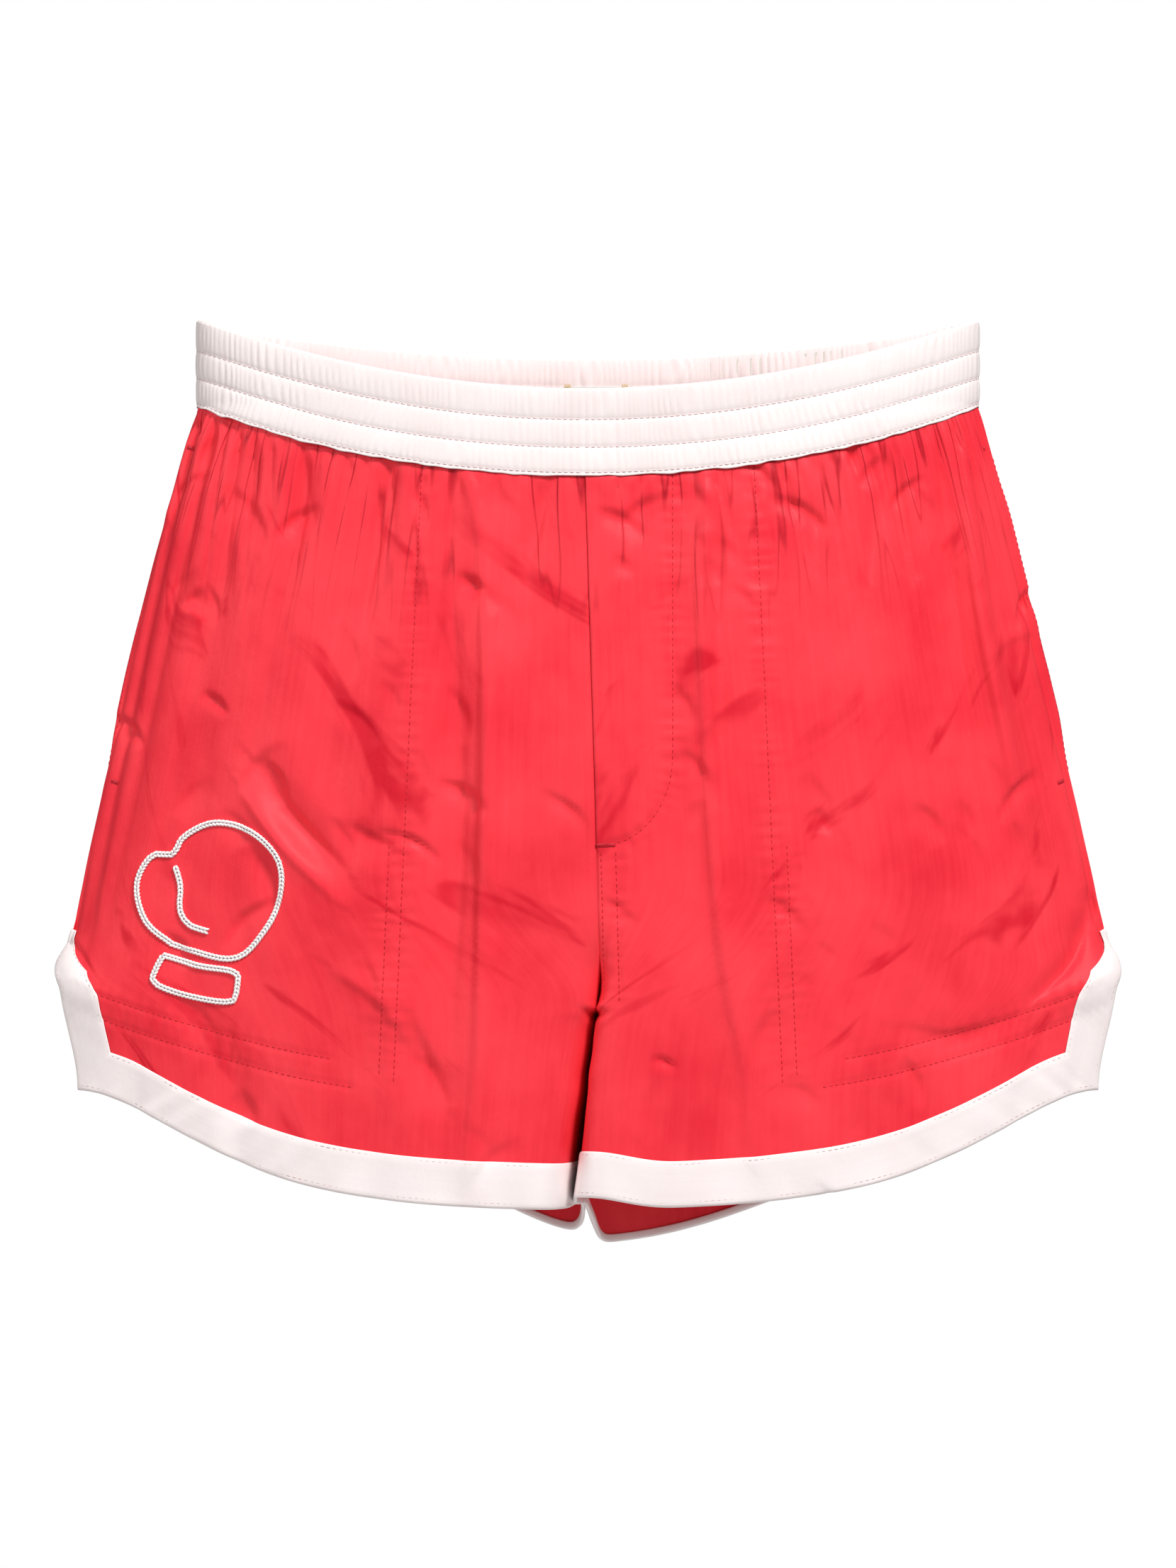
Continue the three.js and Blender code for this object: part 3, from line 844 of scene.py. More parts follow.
def seam_steps(face, side, s, z):
    """Lifts at the panel's sewn edges: the fly's overlap in front, and grooves elsewhere."""
    centre = np.exp(-((s / 0.008) ** 2))
    side_seam = np.exp(-(((1 - s) / 0.008) ** 2))
    centre_end = smoothstep(z, CROTCH_Z + 20 * MM, CROTCH_Z + 50 * MM)
    groove = -0.25 * MM * centre * centre_end - 0.5 * MM * side_seam * (z > VENT_TOP_Z)
    if (face, side) == (FRONT, LEFT):
        fly = smoothstep(z, FLY_BOTTOM_Z - 4 * MM, FLY_BOTTOM_Z)
        groove += fly * 0.5 * MM * centre
    mouth = rise_and_fall(z, MOUTH_BOTTOM_Z, MOUTH_TOP_Z, 30 * MM)
    gape = {FRONT: 2.5 * MM, BACK: -0.8 * MM}[face]
    return groove + gape * mouth * smoothstep(s, 0.93, 1)


def fine_panels():
    panels = coarse_panels()
    panels = drape(panels)
    rng = np.random.default_rng(SEED + 1)
    made = {}
    s, t = grid(FINE_COLUMNS, FINE_ROWS)
    for face, side in PANELS:
        points = resampled(resampled(panels[face, side], FINE_ROWS, 0), FINE_COLUMNS, 1)
        x, z = points[..., 0], points[..., 2]
        below = waist_z(face, s) - height(face, side, s, t)
        inseam = lerp(1, smoothstep(s, 0.04, 0.16), smoothstep(t, 0.65, CROTCH_ROW_SHARE))
        edges = rise_and_fall(s, 0, 1, 0.03) * inseam
        lift = gathers(s * PANEL_WIDTH, below, rng, FINE_GATHERS)
        lift += crinkles(x, z, rng)
        if face == FRONT:
            lift += 0.7 * front_folds(x, z, 0.35)
            lift += seam_puckers(x, z, stitch_rows(side), rng)
        lift = lift * edges + seam_steps(face, side, s, z)
        if (face, side) == (FRONT, LEFT):
            lift += fly_raise(x, z) * smoothstep(s, 0, 0.02)
        lift *= smoothstep(below, -1 * MM, 1 * MM)
        made[face, side] = Panel(face, side, points + outward(points, face, side) * lift[..., None])
    return made


# -------- materials
MATERIALS = {}


class Surface(NodeTree):
    """A node material round one Principled shader, kept in MATERIALS under its name."""

    def __init__(self, name, **constants):
        MATERIALS[name] = bpy.data.materials.new(name)
        super().__init__(MATERIALS[name])
        constants = {socket.replace("_", " "): value for socket, value in constants.items()}
        self.shader = self.add("BsdfPrincipled", constants)
        self.add("OutputMaterial", {"Surface": self.shader.outputs[0]})

    def place(self, kind, scale):
        """Texture coordinates of one kind, UV (in metres) or Object, at a scale per axis."""
        source = self.add("TexCoord").outputs[kind]
        return self.add("Mapping", {"Vector": source, "Scale": scale}).outputs["Vector"]

    def noise(self, kind, scale, detail=2.0, roughness=0.5):
        vector = self.place(kind, scale)
        sockets = {"Vector": vector, "Scale": 1.0, "Detail": detail, "Roughness": roughness}
        return self.add("TexNoise", sockets).outputs["Fac"]

    def wave(self, kind, scale, axis, distortion=0.6):
        sockets = {"Vector": self.place(kind, scale), "Scale": 1.0, "Distortion": distortion}
        sockets["Detail Scale"] = 0.5
        return self.add("TexWave", sockets, bands_direction=axis).outputs["Fac"]

    def math(self, operation, a, b=0.0):
        return self.add("Math", {0: a, 1: b}, operation=operation).outputs[0]

    def blend(self, a, share_a, b, share_b):
        """The sum of two values, each times its share."""
        return self.math("ADD", self.math("MULTIPLY", a, share_a), self.math("MULTIPLY", b, share_b))

    def ramp(self, factor, stops):
        node = self.add("ValToRGB", {"Fac": factor})
        elements = node.color_ramp.elements
        while len(elements) < len(stops):
            elements.new(0.5)
        for element, (position, colour) in zip(elements, stops):
            element.position = position
            element.color = (*colour, 1)
        return node.outputs["Color"]

    def connect(self, socket, value):
        self.tree.links.new(value, self.shader.inputs[socket])

    def patches(self, size, turn, low, high):
        """1 in scattered long patches, slanting at an angle across the cloth, and 0 between."""
        source = self.add("TexCoord").outputs["UV"]
        sockets = {"Vector": source, "Rotation": (0, 0, turn), "Scale": size}
        vector = self.add("Mapping", sockets, vector_type="TEXTURE").outputs["Vector"]
        sockets = {"Vector": vector, "Scale": 1.0, "Detail": 3.0, "Distortion": 0.9}
        return self.span(self.add("TexNoise", sockets).outputs["Fac"], low, high, curve="SMOOTHSTEP")

    def fine_creases(self, scale, width, reach):
        """1 on thin wandering lines down the cloth, within a reach of the waist, and 0 elsewhere: where
        the satin gets painted crease shadow and a bump.
        """
        cloud = self.noise("UV", scale, 1.0)
        gap = self.math("ABSOLUTE", self.math("SUBTRACT", cloud, 0.5))
        place = self.add("SeparateXYZ", {"Vector": self.add("TexCoord").outputs["UV"]})
        near = self.span(place.outputs["Y"], 0.0, reach, 1.0, 0.0, "SMOOTHSTEP")
        shown = self.span(self.noise("UV", (45, 28, 1), 1.0), 0.38, 0.52)
        some = self.math("MULTIPLY", near, shown)
        return self.math("MULTIPLY", self.span(gap, 0.0, width, 1.0, 0.0), some)

    def shade(self, colour, dark, amount, depth):
        """The colour turned towards a dark one, as painted shade, where the amount is 1, by a depth
        from 0 to 1.
        """
        share = self.math("MULTIPLY", amount, depth)
        sockets = {"Fac": share, "Color1": colour, "Color2": (*dark, 1)}
        return self.add("MixRGB", sockets).outputs["Color"]

    def bump(self, *layers):
        """Stacks bumps, each (height, distance in metres, strength)."""
        normal = None
        for relief, distance, strength in layers:
            sockets = {"Height": relief, "Distance": distance, "Strength": strength}
            if normal:
                sockets["Normal"] = normal
            normal = self.add("Bump", sockets).outputs["Normal"]
        self.connect("Normal", normal)


# Painted shade colours of the red satin: its dark reflection patches, and the shadow in its fine
# creases.
SHADE_PATCH_RED = (0.58, 0.0, 0.016)
CREASE_SHADOW_RED = (0.30, 0.0, 0.008)


def satin(name, deep, middle, light, rough, crumpling, creases_and_painted_shade=False, **constants):
    """Warp-faced satin: fine floats down the cloth, faint slubs, and a sheen across the floats.

    With the flag set, the satin also gets painted shade in slanting patches, in place of its dark
    reflections, and painted shadow along fine creases below the waist, which are bumped too."""
    cloth = Surface(name, **constants)
    floats = cloth.noise("UV", (3200, 160, 1), 2)
    weft = cloth.noise("UV", (500, 2600, 1), 1)
    slubs = cloth.noise("UV", (420, 14, 1), 3, 0.6)
    clouds = cloth.noise("Object", (22, 22, 16), 3, 0.55)
    tone = cloth.blend(slubs, 0.22, clouds, 0.78)
    colour = cloth.ramp(tone, [(0.3, deep), (0.5, middle), (0.7, light)])
    crumple = cloth.noise("Object", (95, 95, 60), 4, 0.62)
    relief = [(crumple, crumpling, 0.5), (slubs, 0.06 * MM, 0.35), (weft, 0.03 * MM, 0.3)]
    if creases_and_painted_shade:
        # Painted shade: slanting patches darkened where the satin would reflect little light.
        shade_patches = cloth.patches((0.075, 0.030, 1), math.radians(-52), 0.585, 0.72)
        # Painted shadow: thin crease lines darkened in the colour, and also bumped.
        creases = cloth.fine_creases((90, 8, 1), 0.028, 0.12)
        colour = cloth.shade(colour, SHADE_PATCH_RED, shade_patches, 0.7)
        colour = cloth.shade(colour, CREASE_SHADOW_RED, creases, 0.7)
        relief += [(cloth.math("SUBTRACT", 1.0, creases), 0.5 * MM, 0.6)]
    cloth.connect("Base Color", colour)
    grain = cloth.math("MULTIPLY", cloth.math("ADD", slubs, floats), 0.5)
    cloth.connect("Roughness", cloth.span(grain, 0.0, 1.0, rough - 0.06, rough + 0.06))
    cloth.bump(*relief)
    cloth.connect("Tangent", cloth.add("Tangent", direction_type="UV_MAP").outputs["Tangent"])


def twill(name, deep, light, across, along, rough, kind="UV", **constants):
    """A plain or ribbed weave of crossing threads, at so many threads a metre each way."""
    cloth = Surface(name, **constants)
    warp = cloth.wave(kind, (across, across * 0.01, across * 0.01), "X")
    weft = cloth.wave(kind, (along * 0.01, along, along), "Z" if kind == "Object" else "Y")
    weave = cloth.math("MULTIPLY", warp, weft)
    dust = cloth.noise(kind, (180, 180, 180), 3)
    tone = cloth.blend(weave, 0.6, dust, 0.5)
    cloth.connect("Base Color", cloth.ramp(tone, [(0.2, deep), (0.8, light)]))
    cloth.connect("Roughness", cloth.span(dust, 0.0, 1.0, rough - 0.08, rough + 0.08))
    cloth.bump((weave, 0.15 * MM, 0.6), (dust, 0.1 * MM, 0.3))


def thread(name, deep, light, rough, **constants):
    """Twisted sewing thread."""
    cord = Surface(name, **constants)
    twist = cord.wave("Object", (900, 900, 900), "DIAGONAL", 1.0)
    fuzz = cord.noise("Object", (700, 700, 700), 3)
    tone = cord.blend(twist, 0.5, fuzz, 0.5)
    cord.connect("Base Color", cord.ramp(tone, [(0.2, deep), (0.75, light)]))
    cord.connect("Roughness", cord.span(fuzz, 0.0, 1.0, rough - 0.1, rough + 0.1))
    cord.bump((twist, 0.08 * MM, 0.6), (fuzz, 0.05 * MM, 0.4))


def make_materials():
    sheen = {"Sheen_Weight": 0.1, "Sheen_Roughness": 0.4}
    # The red satin gets painted shade in slanting patches and painted shadow along fine creases.
    satin(
        "satin_red", (0.80, 0.022, 0.042), (0.93, 0.044, 0.063), (0.98, 0.060, 0.080), 0.48, 0.8 * MM,
        creases_and_painted_shade=True, Anisotropic=0.5, Specular_IOR_Level=0.12,
    )
    satin(
        "satin_pink", (0.86, 0.745, 0.73), (0.91, 0.815, 0.80), (0.95, 0.875, 0.86), 0.42, 0.5 * MM,
        Anisotropic=0.4, Specular_IOR_Level=0.4, **sheen,
    )
    satin(
        "tape_pink", (0.92, 0.81, 0.805), (0.955, 0.86, 0.85), (0.985, 0.90, 0.89), 0.42, 0.5 * MM,
        Anisotropic=0.5, Specular_IOR_Level=0.5, **sheen,
    )
    twill("lining", (0.42, 0.004, 0.014), (0.62, 0.010, 0.025), 2600, 2200, 0.6)
    twill("label", (0.60, 0.60, 0.55), (0.80, 0.79, 0.74), 2400, 1700, 0.55)
    twill("elastic", (0.70, 0.68, 0.62), (0.88, 0.86, 0.80), 900, 1500, 0.7, "Object")
    thread("red_thread", (0.42, 0.0, 0.012), (0.74, 0.01, 0.03), 0.45)
    thread("pink_thread", (0.62, 0.44, 0.44), (0.82, 0.66, 0.65), 0.5)
    thread("ivory_thread", (0.90, 0.84, 0.83), (1.0, 0.97, 0.96), 0.5, Sheen_Weight=0.2)
    thread("gold_thread", (0.45, 0.30, 0.10), (0.78, 0.58, 0.28), 0.4)


# -------- finishing a piece
def finish(piece, slot, material=None, replaces=()):
    piece.data.materials.append(MATERIALS[material or slot])
    if replaces:
        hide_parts(*replaces)
    return piece


def follow_leg(piece, side):
    """Bakes the piece's placement into its mesh."""
    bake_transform(piece)


def thread_run(points, normals, pitch, length, radius, sideways=0.0, skew=0.0, closed=False):
    """Separate stitches along a line, each a small arched hexagonal bead: (vertices, faces)."""
    reach = line_reach(points)
    if closed:
        count = round(reach[-1] / pitch)
        centres = np.arange(count) * reach[-1] / count
    else:
        centres = np.arange(length / 2, reach[-1] - length / 2, pitch)
    u = np.array([-1, -0.7, 0, 0.7, 1.0])
    width = np.array([0.35, 0.85, 1, 0.85, 0.35]) * radius
    rise = np.array([-0.8, 0.0, 0.45, 0.0, -0.8]) * radius
    place = centres[:, None] + u * length / 2
    place = place % reach[-1] if closed else np.clip(place, 0, reach[-1])
    middle = read_off(place, reach, points)
    normal = unit(read_off(place, reach, normals))
    ahead = read_off(place + 0.3 * MM, reach, points)
    behind = read_off(place - 0.3 * MM, reach, points)
    beside = unit(np.cross(ahead - behind, normal))
    middle = middle + beside * (sideways + skew * u)[None, :, None] + normal * rise[None, :, None]
    turn = np.arange(6) * np.pi / 3
    ring = (
        beside[:, :, None] * np.cos(turn)[:, None] + normal[:, :, None] * np.sin(turn)[:, None]
    ) * width[None, :, None, None]
    vertices = (middle[:, :, None] + ring).reshape(-1, 3)
    tube = grid_faces(5, 6, False, wrap=True)
    ends = np.array([[3, 2, 1, 0], [5, 4, 3, 0], [24, 25, 26, 27], [24, 27, 28, 29]])
    one = np.concatenate([tube, ends])
    faces = (one[None] + 30 * np.arange(len(centres))[:, None, None]).reshape(-1, 4)
    return vertices, faces


def dense(line, step):
    """A line with a point about every step."""
    reach = line_reach(line)
    return read_off(np.linspace(0, reach[-1], max(3, int(reach[-1] / step))), reach, line)


def on_panel(panel, line, lift):
    """A line of (x, z) points laid on a panel, as points and normals."""
    s, t = panel.find(dense(line, 4 * MM))
    shares = dense(np.stack([s * PANEL_WIDTH, t * PANEL_WIDTH], -1), 0.8 * MM) / PANEL_WIDTH
    return panel.at(shares[:, 0], shares[:, 1], lift)


# -------- the red panels
def name_of_panel(face, side):
    return f"{FACE_NAMES[face]}_panel_{SIDE_NAMES[side]}"


def make_panels():
    for number, ((face, side), panel) in enumerate(panels.items()):
        name = name_of_panel(face, side)
        across = number + np.linspace(0, 1, FINE_COLUMNS) * panel.reach_across.mean()
        along = np.linspace(0, 1, FINE_ROWS) * panel.reach_down.mean()
        faces = grid_faces(FINE_ROWS, FINE_COLUMNS, face * side < 0)
        piece = make_mesh(name, panel.points, faces, np.stack(np.meshgrid(across, along), -1))
        thicken(piece, CLOTH)
        finish(piece, "satin_red", replaces=[name + "_upper", name + "_lower"])
        follow_leg(piece, side)


# -------- the waistband
BAND_COLUMNS = 1100
BAND_STITCH_ROWS = (1.6 * MM, 13.6 * MM, 26.8 * MM)
BAND_CLOTH = 0.3 * MM
BAND_PINCH = 0.85 * MM
BAND_BULGE = 0.7 * MM
BAND_PLEAT = 3.5 * MM


def band_middle(quarter, h):
    """The middle of the band at quarter turns from the front centre and a height over its edge."""
    quarter = quarter % 4
    side = np.where(quarter < 2, LEFT, RIGHT)
    face = np.where((quarter < 1) | (quarter > 3), FRONT, BACK)
    s = 1 - np.abs(1 - quarter % 2)
    top_z = waist_z(face, s)
    return shell(face, side, s, top_z + h) * [1, 1, 0] + np.stack([0 * s, 0 * s, top_z + h], -1)


def band_stations():
    """Evenly spaced quarter turns round the band, and its length."""
    dense_turns = np.linspace(0, 4, 4001)
    ring = band_middle(dense_turns, BAND_HEIGHT / 2)
    reach = line_reach(ring)
    return np.interp(np.arange(BAND_COLUMNS) / BAND_COLUMNS * reach[-1], reach, dense_turns), reach[-1]


class Band:
    """The casing's surface: how far each wall stands off the middle, with its fine pleats."""

    def __init__(self, rng):
        self.quarters, self.length = band_stations()
        self.arc = arc = np.arange(BAND_COLUMNS) / BAND_COLUMNS * self.length
        ends = rise_and_fall(arc, 0, self.length, 0.02)
        whole = round(self.length / BAND_PLEAT)
        self.phase = whole * arc / self.length + 1.3 * ends * wander(arc, 16 * MM, rng)
        self.drift = [0.7 * ends * wander(arc, 9 * MM, rng) for _ in range(6)]
        self.strength = [0.8 + 0.5 * ends * wander(arc, 7 * MM, rng) for _ in range(6)]
        self.swell = 0.5 * MM * ends * wander(arc, 35 * MM, rng)
        self.ragged = 0.5 * MM * ends * wander(arc, 5 * MM, rng)

    def relief(self, h, wall):
        """The wall's offset from the middle at height h, all the way round."""
        rows = (*BAND_STITCH_ROWS, BAND_HEIGHT + 0.5 * MM)
        channel = int(np.clip(np.searchsorted(rows, h, "right") - 1, 0, 2))
        low, high = rows[channel], rows[channel + 1]
        share = np.clip((h - low) / (high - low), 0, 1)
        round_out = math.sqrt(max(0.0, 1 - (2 * share - 1) ** 2))
        layer = channel if wall > 0 else 3 + channel
        blend = rise_and_fall(share, 0, 1, 0.25)
        ridge = np.abs(np.sin(np.pi * (self.phase + blend * self.drift[layer]))) ** 0.6 - 0.65
        depth = (0.3 + 0.4 * blend) * MM * self.strength[layer] * (1.0 if wall > 0 else 1.7)
        return BAND_PINCH + BAND_BULGE * round_out + depth * ridge

    def surface(self, h, offset):
        """Points and outward normals at height h and signed offset from the middle."""
        ring = band_middle(self.quarters, h)
        ahead = np.roll(ring, -1, 0) - np.roll(ring, 1, 0)
        normal = unit(np.stack([ahead[:, 1], -ahead[:, 0], 0 * ahead[:, 0]], -1))
        return ring + normal * (offset + self.swell)[:, None], normal


def band_rows():
    """The casing's section as (height, wall), from the outer edge over the top and down inside."""
    rows = (*BAND_STITCH_ROWS, BAND_HEIGHT)

    def channels(count):
        ease = 0.5 - 0.5 * np.cos(np.pi * np.arange(1, count + 1) / count)
        return [low + (high - low) * e for low, high in zip(rows, rows[1:]) for e in ease]

    outer = [0.0, 0.6 * MM, rows[0]] + channels(7)
    inner = [0.4 * MM, rows[0]] + channels(5)
    return [(h, 1) for h in outer] + [(h, -1) for h in reversed(inner)]


def make_band():
    band = Band(np.random.default_rng(SEED + 2))
    lines, heights = [], []
    for h, wall in band_rows():
        relief = band.relief(h, wall)
        if h < BAND_STITCH_ROWS[0]:
            relief = relief + 0.25 * MM
        points, _ = band.surface(h, wall * relief)
        points[:, 2] += band.ragged * (1 - smoothstep(h, 0, 3 * MM))
        lines.append(points)
        heights.append(h if wall > 0 else 2 * BAND_HEIGHT - h)
        if wall > 0 and h == BAND_HEIGHT:
            crown, _ = band.surface(BAND_HEIGHT + 0.7 * MM, 0 * relief)
            lines.append(crown)
            heights.append(BAND_HEIGHT + 0.5 * MM)
    columns = np.append(np.arange(BAND_COLUMNS), 0)
    points = np.array(lines)
    faces = grid_faces(len(lines), BAND_COLUMNS, False, wrap=True)
    piece = make_mesh("waistband_casing_satin", points, faces)
    column = faces % BAND_COLUMNS
    u = np.where((column == 0) & (column != column[:, :1]), band.length, band.arc[column])
    v = np.array(heights)[faces // BAND_COLUMNS]
    layer = piece.data.uv_layers.new(name="UVMap")
    layer.data.foreach_set("uv", np.stack([u, v], -1).astype(np.float32).ravel())
    thicken(piece, BAND_CLOTH)
    finish(piece, "satin_pink", replaces=["waistband_casing"])
    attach(piece, "seat")

    runs = []
    for h in BAND_STITCH_ROWS:
        for wall in (1, -1):
            points, normal = band.surface(h, wall * (band.relief(h, wall) + 0.12 * MM))
            points = points[columns]
            normal = wall * normal[columns]
            runs.append(thread_run(points, normal, 2.9 * MM, 2.2 * MM, 0.26 * MM))
    stitches = finish(make_mesh("waistband_stitching", *joined(runs)), "satin_pink", "pink_thread")
    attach(stitches, "seat")


# -------- hem and vent tapes
TAPE_LIFT = 0.6 * MM
TAPE_CLOTH = 0.3 * MM
TAPE_TAPER = 16 * MM
SMALL_SHARE = 0.004


def tape_profile():
    """The tape's section as (distance from the cloth's edge, lift), folded round the edge."""
    outer = [(d * MM, TAPE_LIFT) for d in (21, 20.4, 17, 13, 9, 5, 2, 0.6)]
    outer[0] = (TAPE_WIDTH, TAPE_LIFT - 0.25 * MM)
    fold = [(-0.2 * MM, 0.42 * MM), (-0.6 * MM, -0.2 * MM), (-0.2 * MM, -CLOTH - 0.4 * MM)]
    inner = [(d * MM, -CLOTH - TAPE_LIFT) for d in (0.6, 1.6, 2.6)]
    return outer + fold + inner + [(3 * MM, -CLOTH - TAPE_LIFT + 0.25 * MM)]


def inside_vent(panel, t, distance):
    """The share across at a distance inside the vent's edge, where the tape tapers at its top."""
    below = (t - panel.share_down(VENT_TOP_Z)) * panel.reach_down[-1]
    width = np.clip(below / TAPE_TAPER, 0.35, 1)
    return 1 - (1 - panel.inside_edge(t, distance)) * width


def tape_stretch(panel, along, towards_hem, rng):
    """One straight stretch of tape along the hem or the vent, mitred at the corner."""
    waves = 0.22 * MM * wander(along, 0.03, rng)
    bands = []
    for d, lift in tape_profile():
        inside, beyond = max(d, 0.0), max(-d, 0.0)
        corner_t = panel.above_hem(1.0, inside)
        if towards_hem:
            s = along * panel.inside_edge(corner_t, inside)
            t = panel.above_hem(s, inside)
        else:
            t = along[0] + (along - along[0]) * (corner_t - along[0]) / (1 - along[0])
            s = inside_vent(panel, t, inside)
        face_lift = np.sign(lift) * waves * rise_and_fall(along, 0, 1, 0.03)
        edge = panel.at(s, t)[0]
        out_side = unit(edge - panel.at(s - SMALL_SHARE, t)[0])
        out_down = unit(edge - panel.at(s, t - SMALL_SHARE)[0])
        corner = (along >= 1)[:, None]
        away = out_down + out_side * corner if towards_hem else out_side + out_down * corner
        bands.append(panel.at(s, t, lift + face_lift * (d > 0))[0] + away * beyond)
    return np.array(bands)


def make_tape(panel):
    face, side = panel.face, panel.side
    rng = np.random.default_rng(SEED + 10 + face + 3 * side)
    vent_share = panel.share_down(VENT_TOP_Z)
    hem = tape_stretch(panel, np.linspace(0, 1, 230), True, rng)
    vent = tape_stretch(panel, np.linspace(vent_share, 1, 80), False, rng)
    parts, uvs = [], []
    profile = np.array(tape_profile())
    across = np.cumsum([0, *np.abs(np.diff(profile[:, 0])) + 0.3 * MM])
    for points, turned in ((hem, face * side < 0), (vent, face * side > 0)):
        rows, columns, _ = points.shape
        parts.append((points.reshape(-1, 3), grid_faces(rows, columns, not turned)))
        u, v = np.meshgrid(line_reach(points[3]), across)
        uvs.append(np.stack([v, u], -1).reshape(-1, 2))
    vertices, faces = joined(parts)
    name = f"hem_tape_{FACE_NAMES[face]}_{SIDE_NAMES[side]}"
    piece = make_mesh(name + "_satin", vertices, faces, np.concatenate(uvs))
    weld = piece.modifiers.new("mitre", "WELD")
    weld.merge_threshold = 0.02 * MM
    thicken(piece, TAPE_CLOTH)
    finish(piece, "satin_pink", "tape_pink", replaces=[name])
    follow_leg(piece, side)
    name_of_panel(face, side)


def tape_edge_lines(panel):
    """The rows of stitches along the tape's inner and outer edges, as points and normals."""
    vent_share = panel.share_down(VENT_TOP_Z)
    for inset in (TAPE_WIDTH - 1.4 * MM, 1.6 * MM):
        corner_t = panel.above_hem(1.0, inset)
        s = np.linspace(SMALL_SHARE, panel.inside_edge(corner_t, inset), 400)
        yield panel.at(s, panel.above_hem(s, inset), TAPE_LIFT + 0.08 * MM)
        t = np.linspace(vent_share + SMALL_SHARE, corner_t, 160)
        yield panel.at(inside_vent(panel, t, inset), t, TAPE_LIFT + 0.08 * MM)


# -------- sewing on the panels
STITCH_PITCH, STITCH_LENGTH, STITCH_RADIUS = 3.0 * MM, 2.3 * MM, 0.2 * MM
BAR_TACK_LENGTH = 10 * MM
BAR_TACK_WIDTH = 2.2 * MM
BAR_TACK_TURNS = 44


def sewn(lines, name):
    """Rows of stitches along lines of points and normals, as one piece."""
    stitch = (STITCH_PITCH, STITCH_LENGTH, STITCH_RADIUS)
    return make_mesh(name, *joined([thread_run(*line, *stitch) for line in lines]))


def make_topstitching(side):
    front = panels[FRONT, side]
    lines = [on_panel(front, row, 0.02 * MM) for row in stitch_rows(side)]
    mouth = np.linspace(front.share_down(MOUTH_TOP_Z), front.share_down(MOUTH_BOTTOM_Z), 180)
    lines.append(front.at(np.full(180, MOUTH_ROW_SHARE), mouth, 0.02 * MM))
    follow_leg(finish(sewn(lines, "topstitching_" + SIDE_NAMES[side]), "red_thread"), side)
    lines = [line for face in (FRONT, BACK) for line in tape_edge_lines(panels[face, side])]
    pale = sewn(lines, "tape_stitching_" + SIDE_NAMES[side])
    follow_leg(finish(pale, "satin_pink", "pink_thread"), side)


def make_fly_facing():
    """The folded cloth behind the mock fly, out to its J-shaped row."""
    panel = panels[FRONT, LEFT]
    rows, columns = 90, 26
    z = np.linspace(fly_hi.z, FLY_BOTTOM_Z + 0.5 * MM, rows)
    outer = FLY_WIDTH * np.maximum(fly_share(z), 0.12) + 2 * MM
    inner = centre_line(FRONT, z) + 1.5 * MM
    x = lerp(inner[:, None], outer[:, None], np.linspace(0, 1, columns))
    line = np.stack([x, np.broadcast_to(z[:, None], x.shape)], -1).reshape(-1, 2)
    s, t = panel.find(line)
    points, _ = panel.at(s, t, -CLOTH - 0.5 * MM)
    uv = line - [0, FLY_BOTTOM_Z]
    piece = make_mesh("fly_facing_cloth", points, grid_faces(rows, columns, False), uv)
    thicken(piece, 0.5 * MM)
    finish(piece, "lining", replaces=["fly_facing"])
    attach(piece, "seat")


def make_pocket_bag(side):
    """The pocket's back wall: a lining sheet sewn to the front panel along its edge and foot."""
    panel = panels[FRONT, side]
    rows, columns = 130, 80
    foot = HEM_CENTRE_Z + POCKET_ABOVE_HEM
    z = np.linspace(band_lo.z + 8 * MM, foot, rows)
    inner_s, inner_t = panel.find(np.stack([side * (pocket_x(z) - 3 * MM), z], -1))
    across = np.linspace(0, 1, columns)
    s = lerp(inner_s[:, None], 0.985, across)
    top_t, low_t = inner_t[0], inner_t[-1]
    outer_t = np.linspace(top_t, 1 - (POCKET_ABOVE_HEM - 3 * MM) / panel.reach_down[-1], rows)
    low = 1 - (POCKET_ABOVE_HEM - 3 * MM) / panel.reach_down.mean()
    t = lerp((inner_t * low / low_t)[:, None], outer_t[:, None], across)
    down_share = np.linspace(0, 1, rows)[:, None]
    slack = np.sqrt(np.sin(np.pi * across)) * np.sqrt(np.sin(np.pi * down_share))
    rng = np.random.default_rng(SEED + 30 + side)
    ripple = 1 + 0.25 * wander(across, 0.18, rng) + 0.2 * wander(down_share, 0.15, rng)
    lift = -CLOTH - 0.8 * MM - 8.5 * MM * slack * ripple
    points, _ = panel.at(s, t, lift)
    uv = np.stack([s * panel.reach_across.mean(), t * panel.reach_down.mean()], -1)
    name = "pocket_bag_" + SIDE_NAMES[side]
    piece = make_mesh(name + "_cloth", points, grid_faces(rows, columns, side > 0), uv)
    thicken(piece, 0.4 * MM, 0.0)
    finish(piece, "lining", replaces=[name + "_upper", name + "_lower"])
    follow_leg(piece, side)
    name_of_panel(FRONT, side)


def one_stitch(points, normals, radius, sideways=0.0):
    """One stitch that reaches along the whole of a line."""
    length = line_reach(points)[-1]
    return thread_run(points, normals, length, 0.98 * length, radius, sideways)


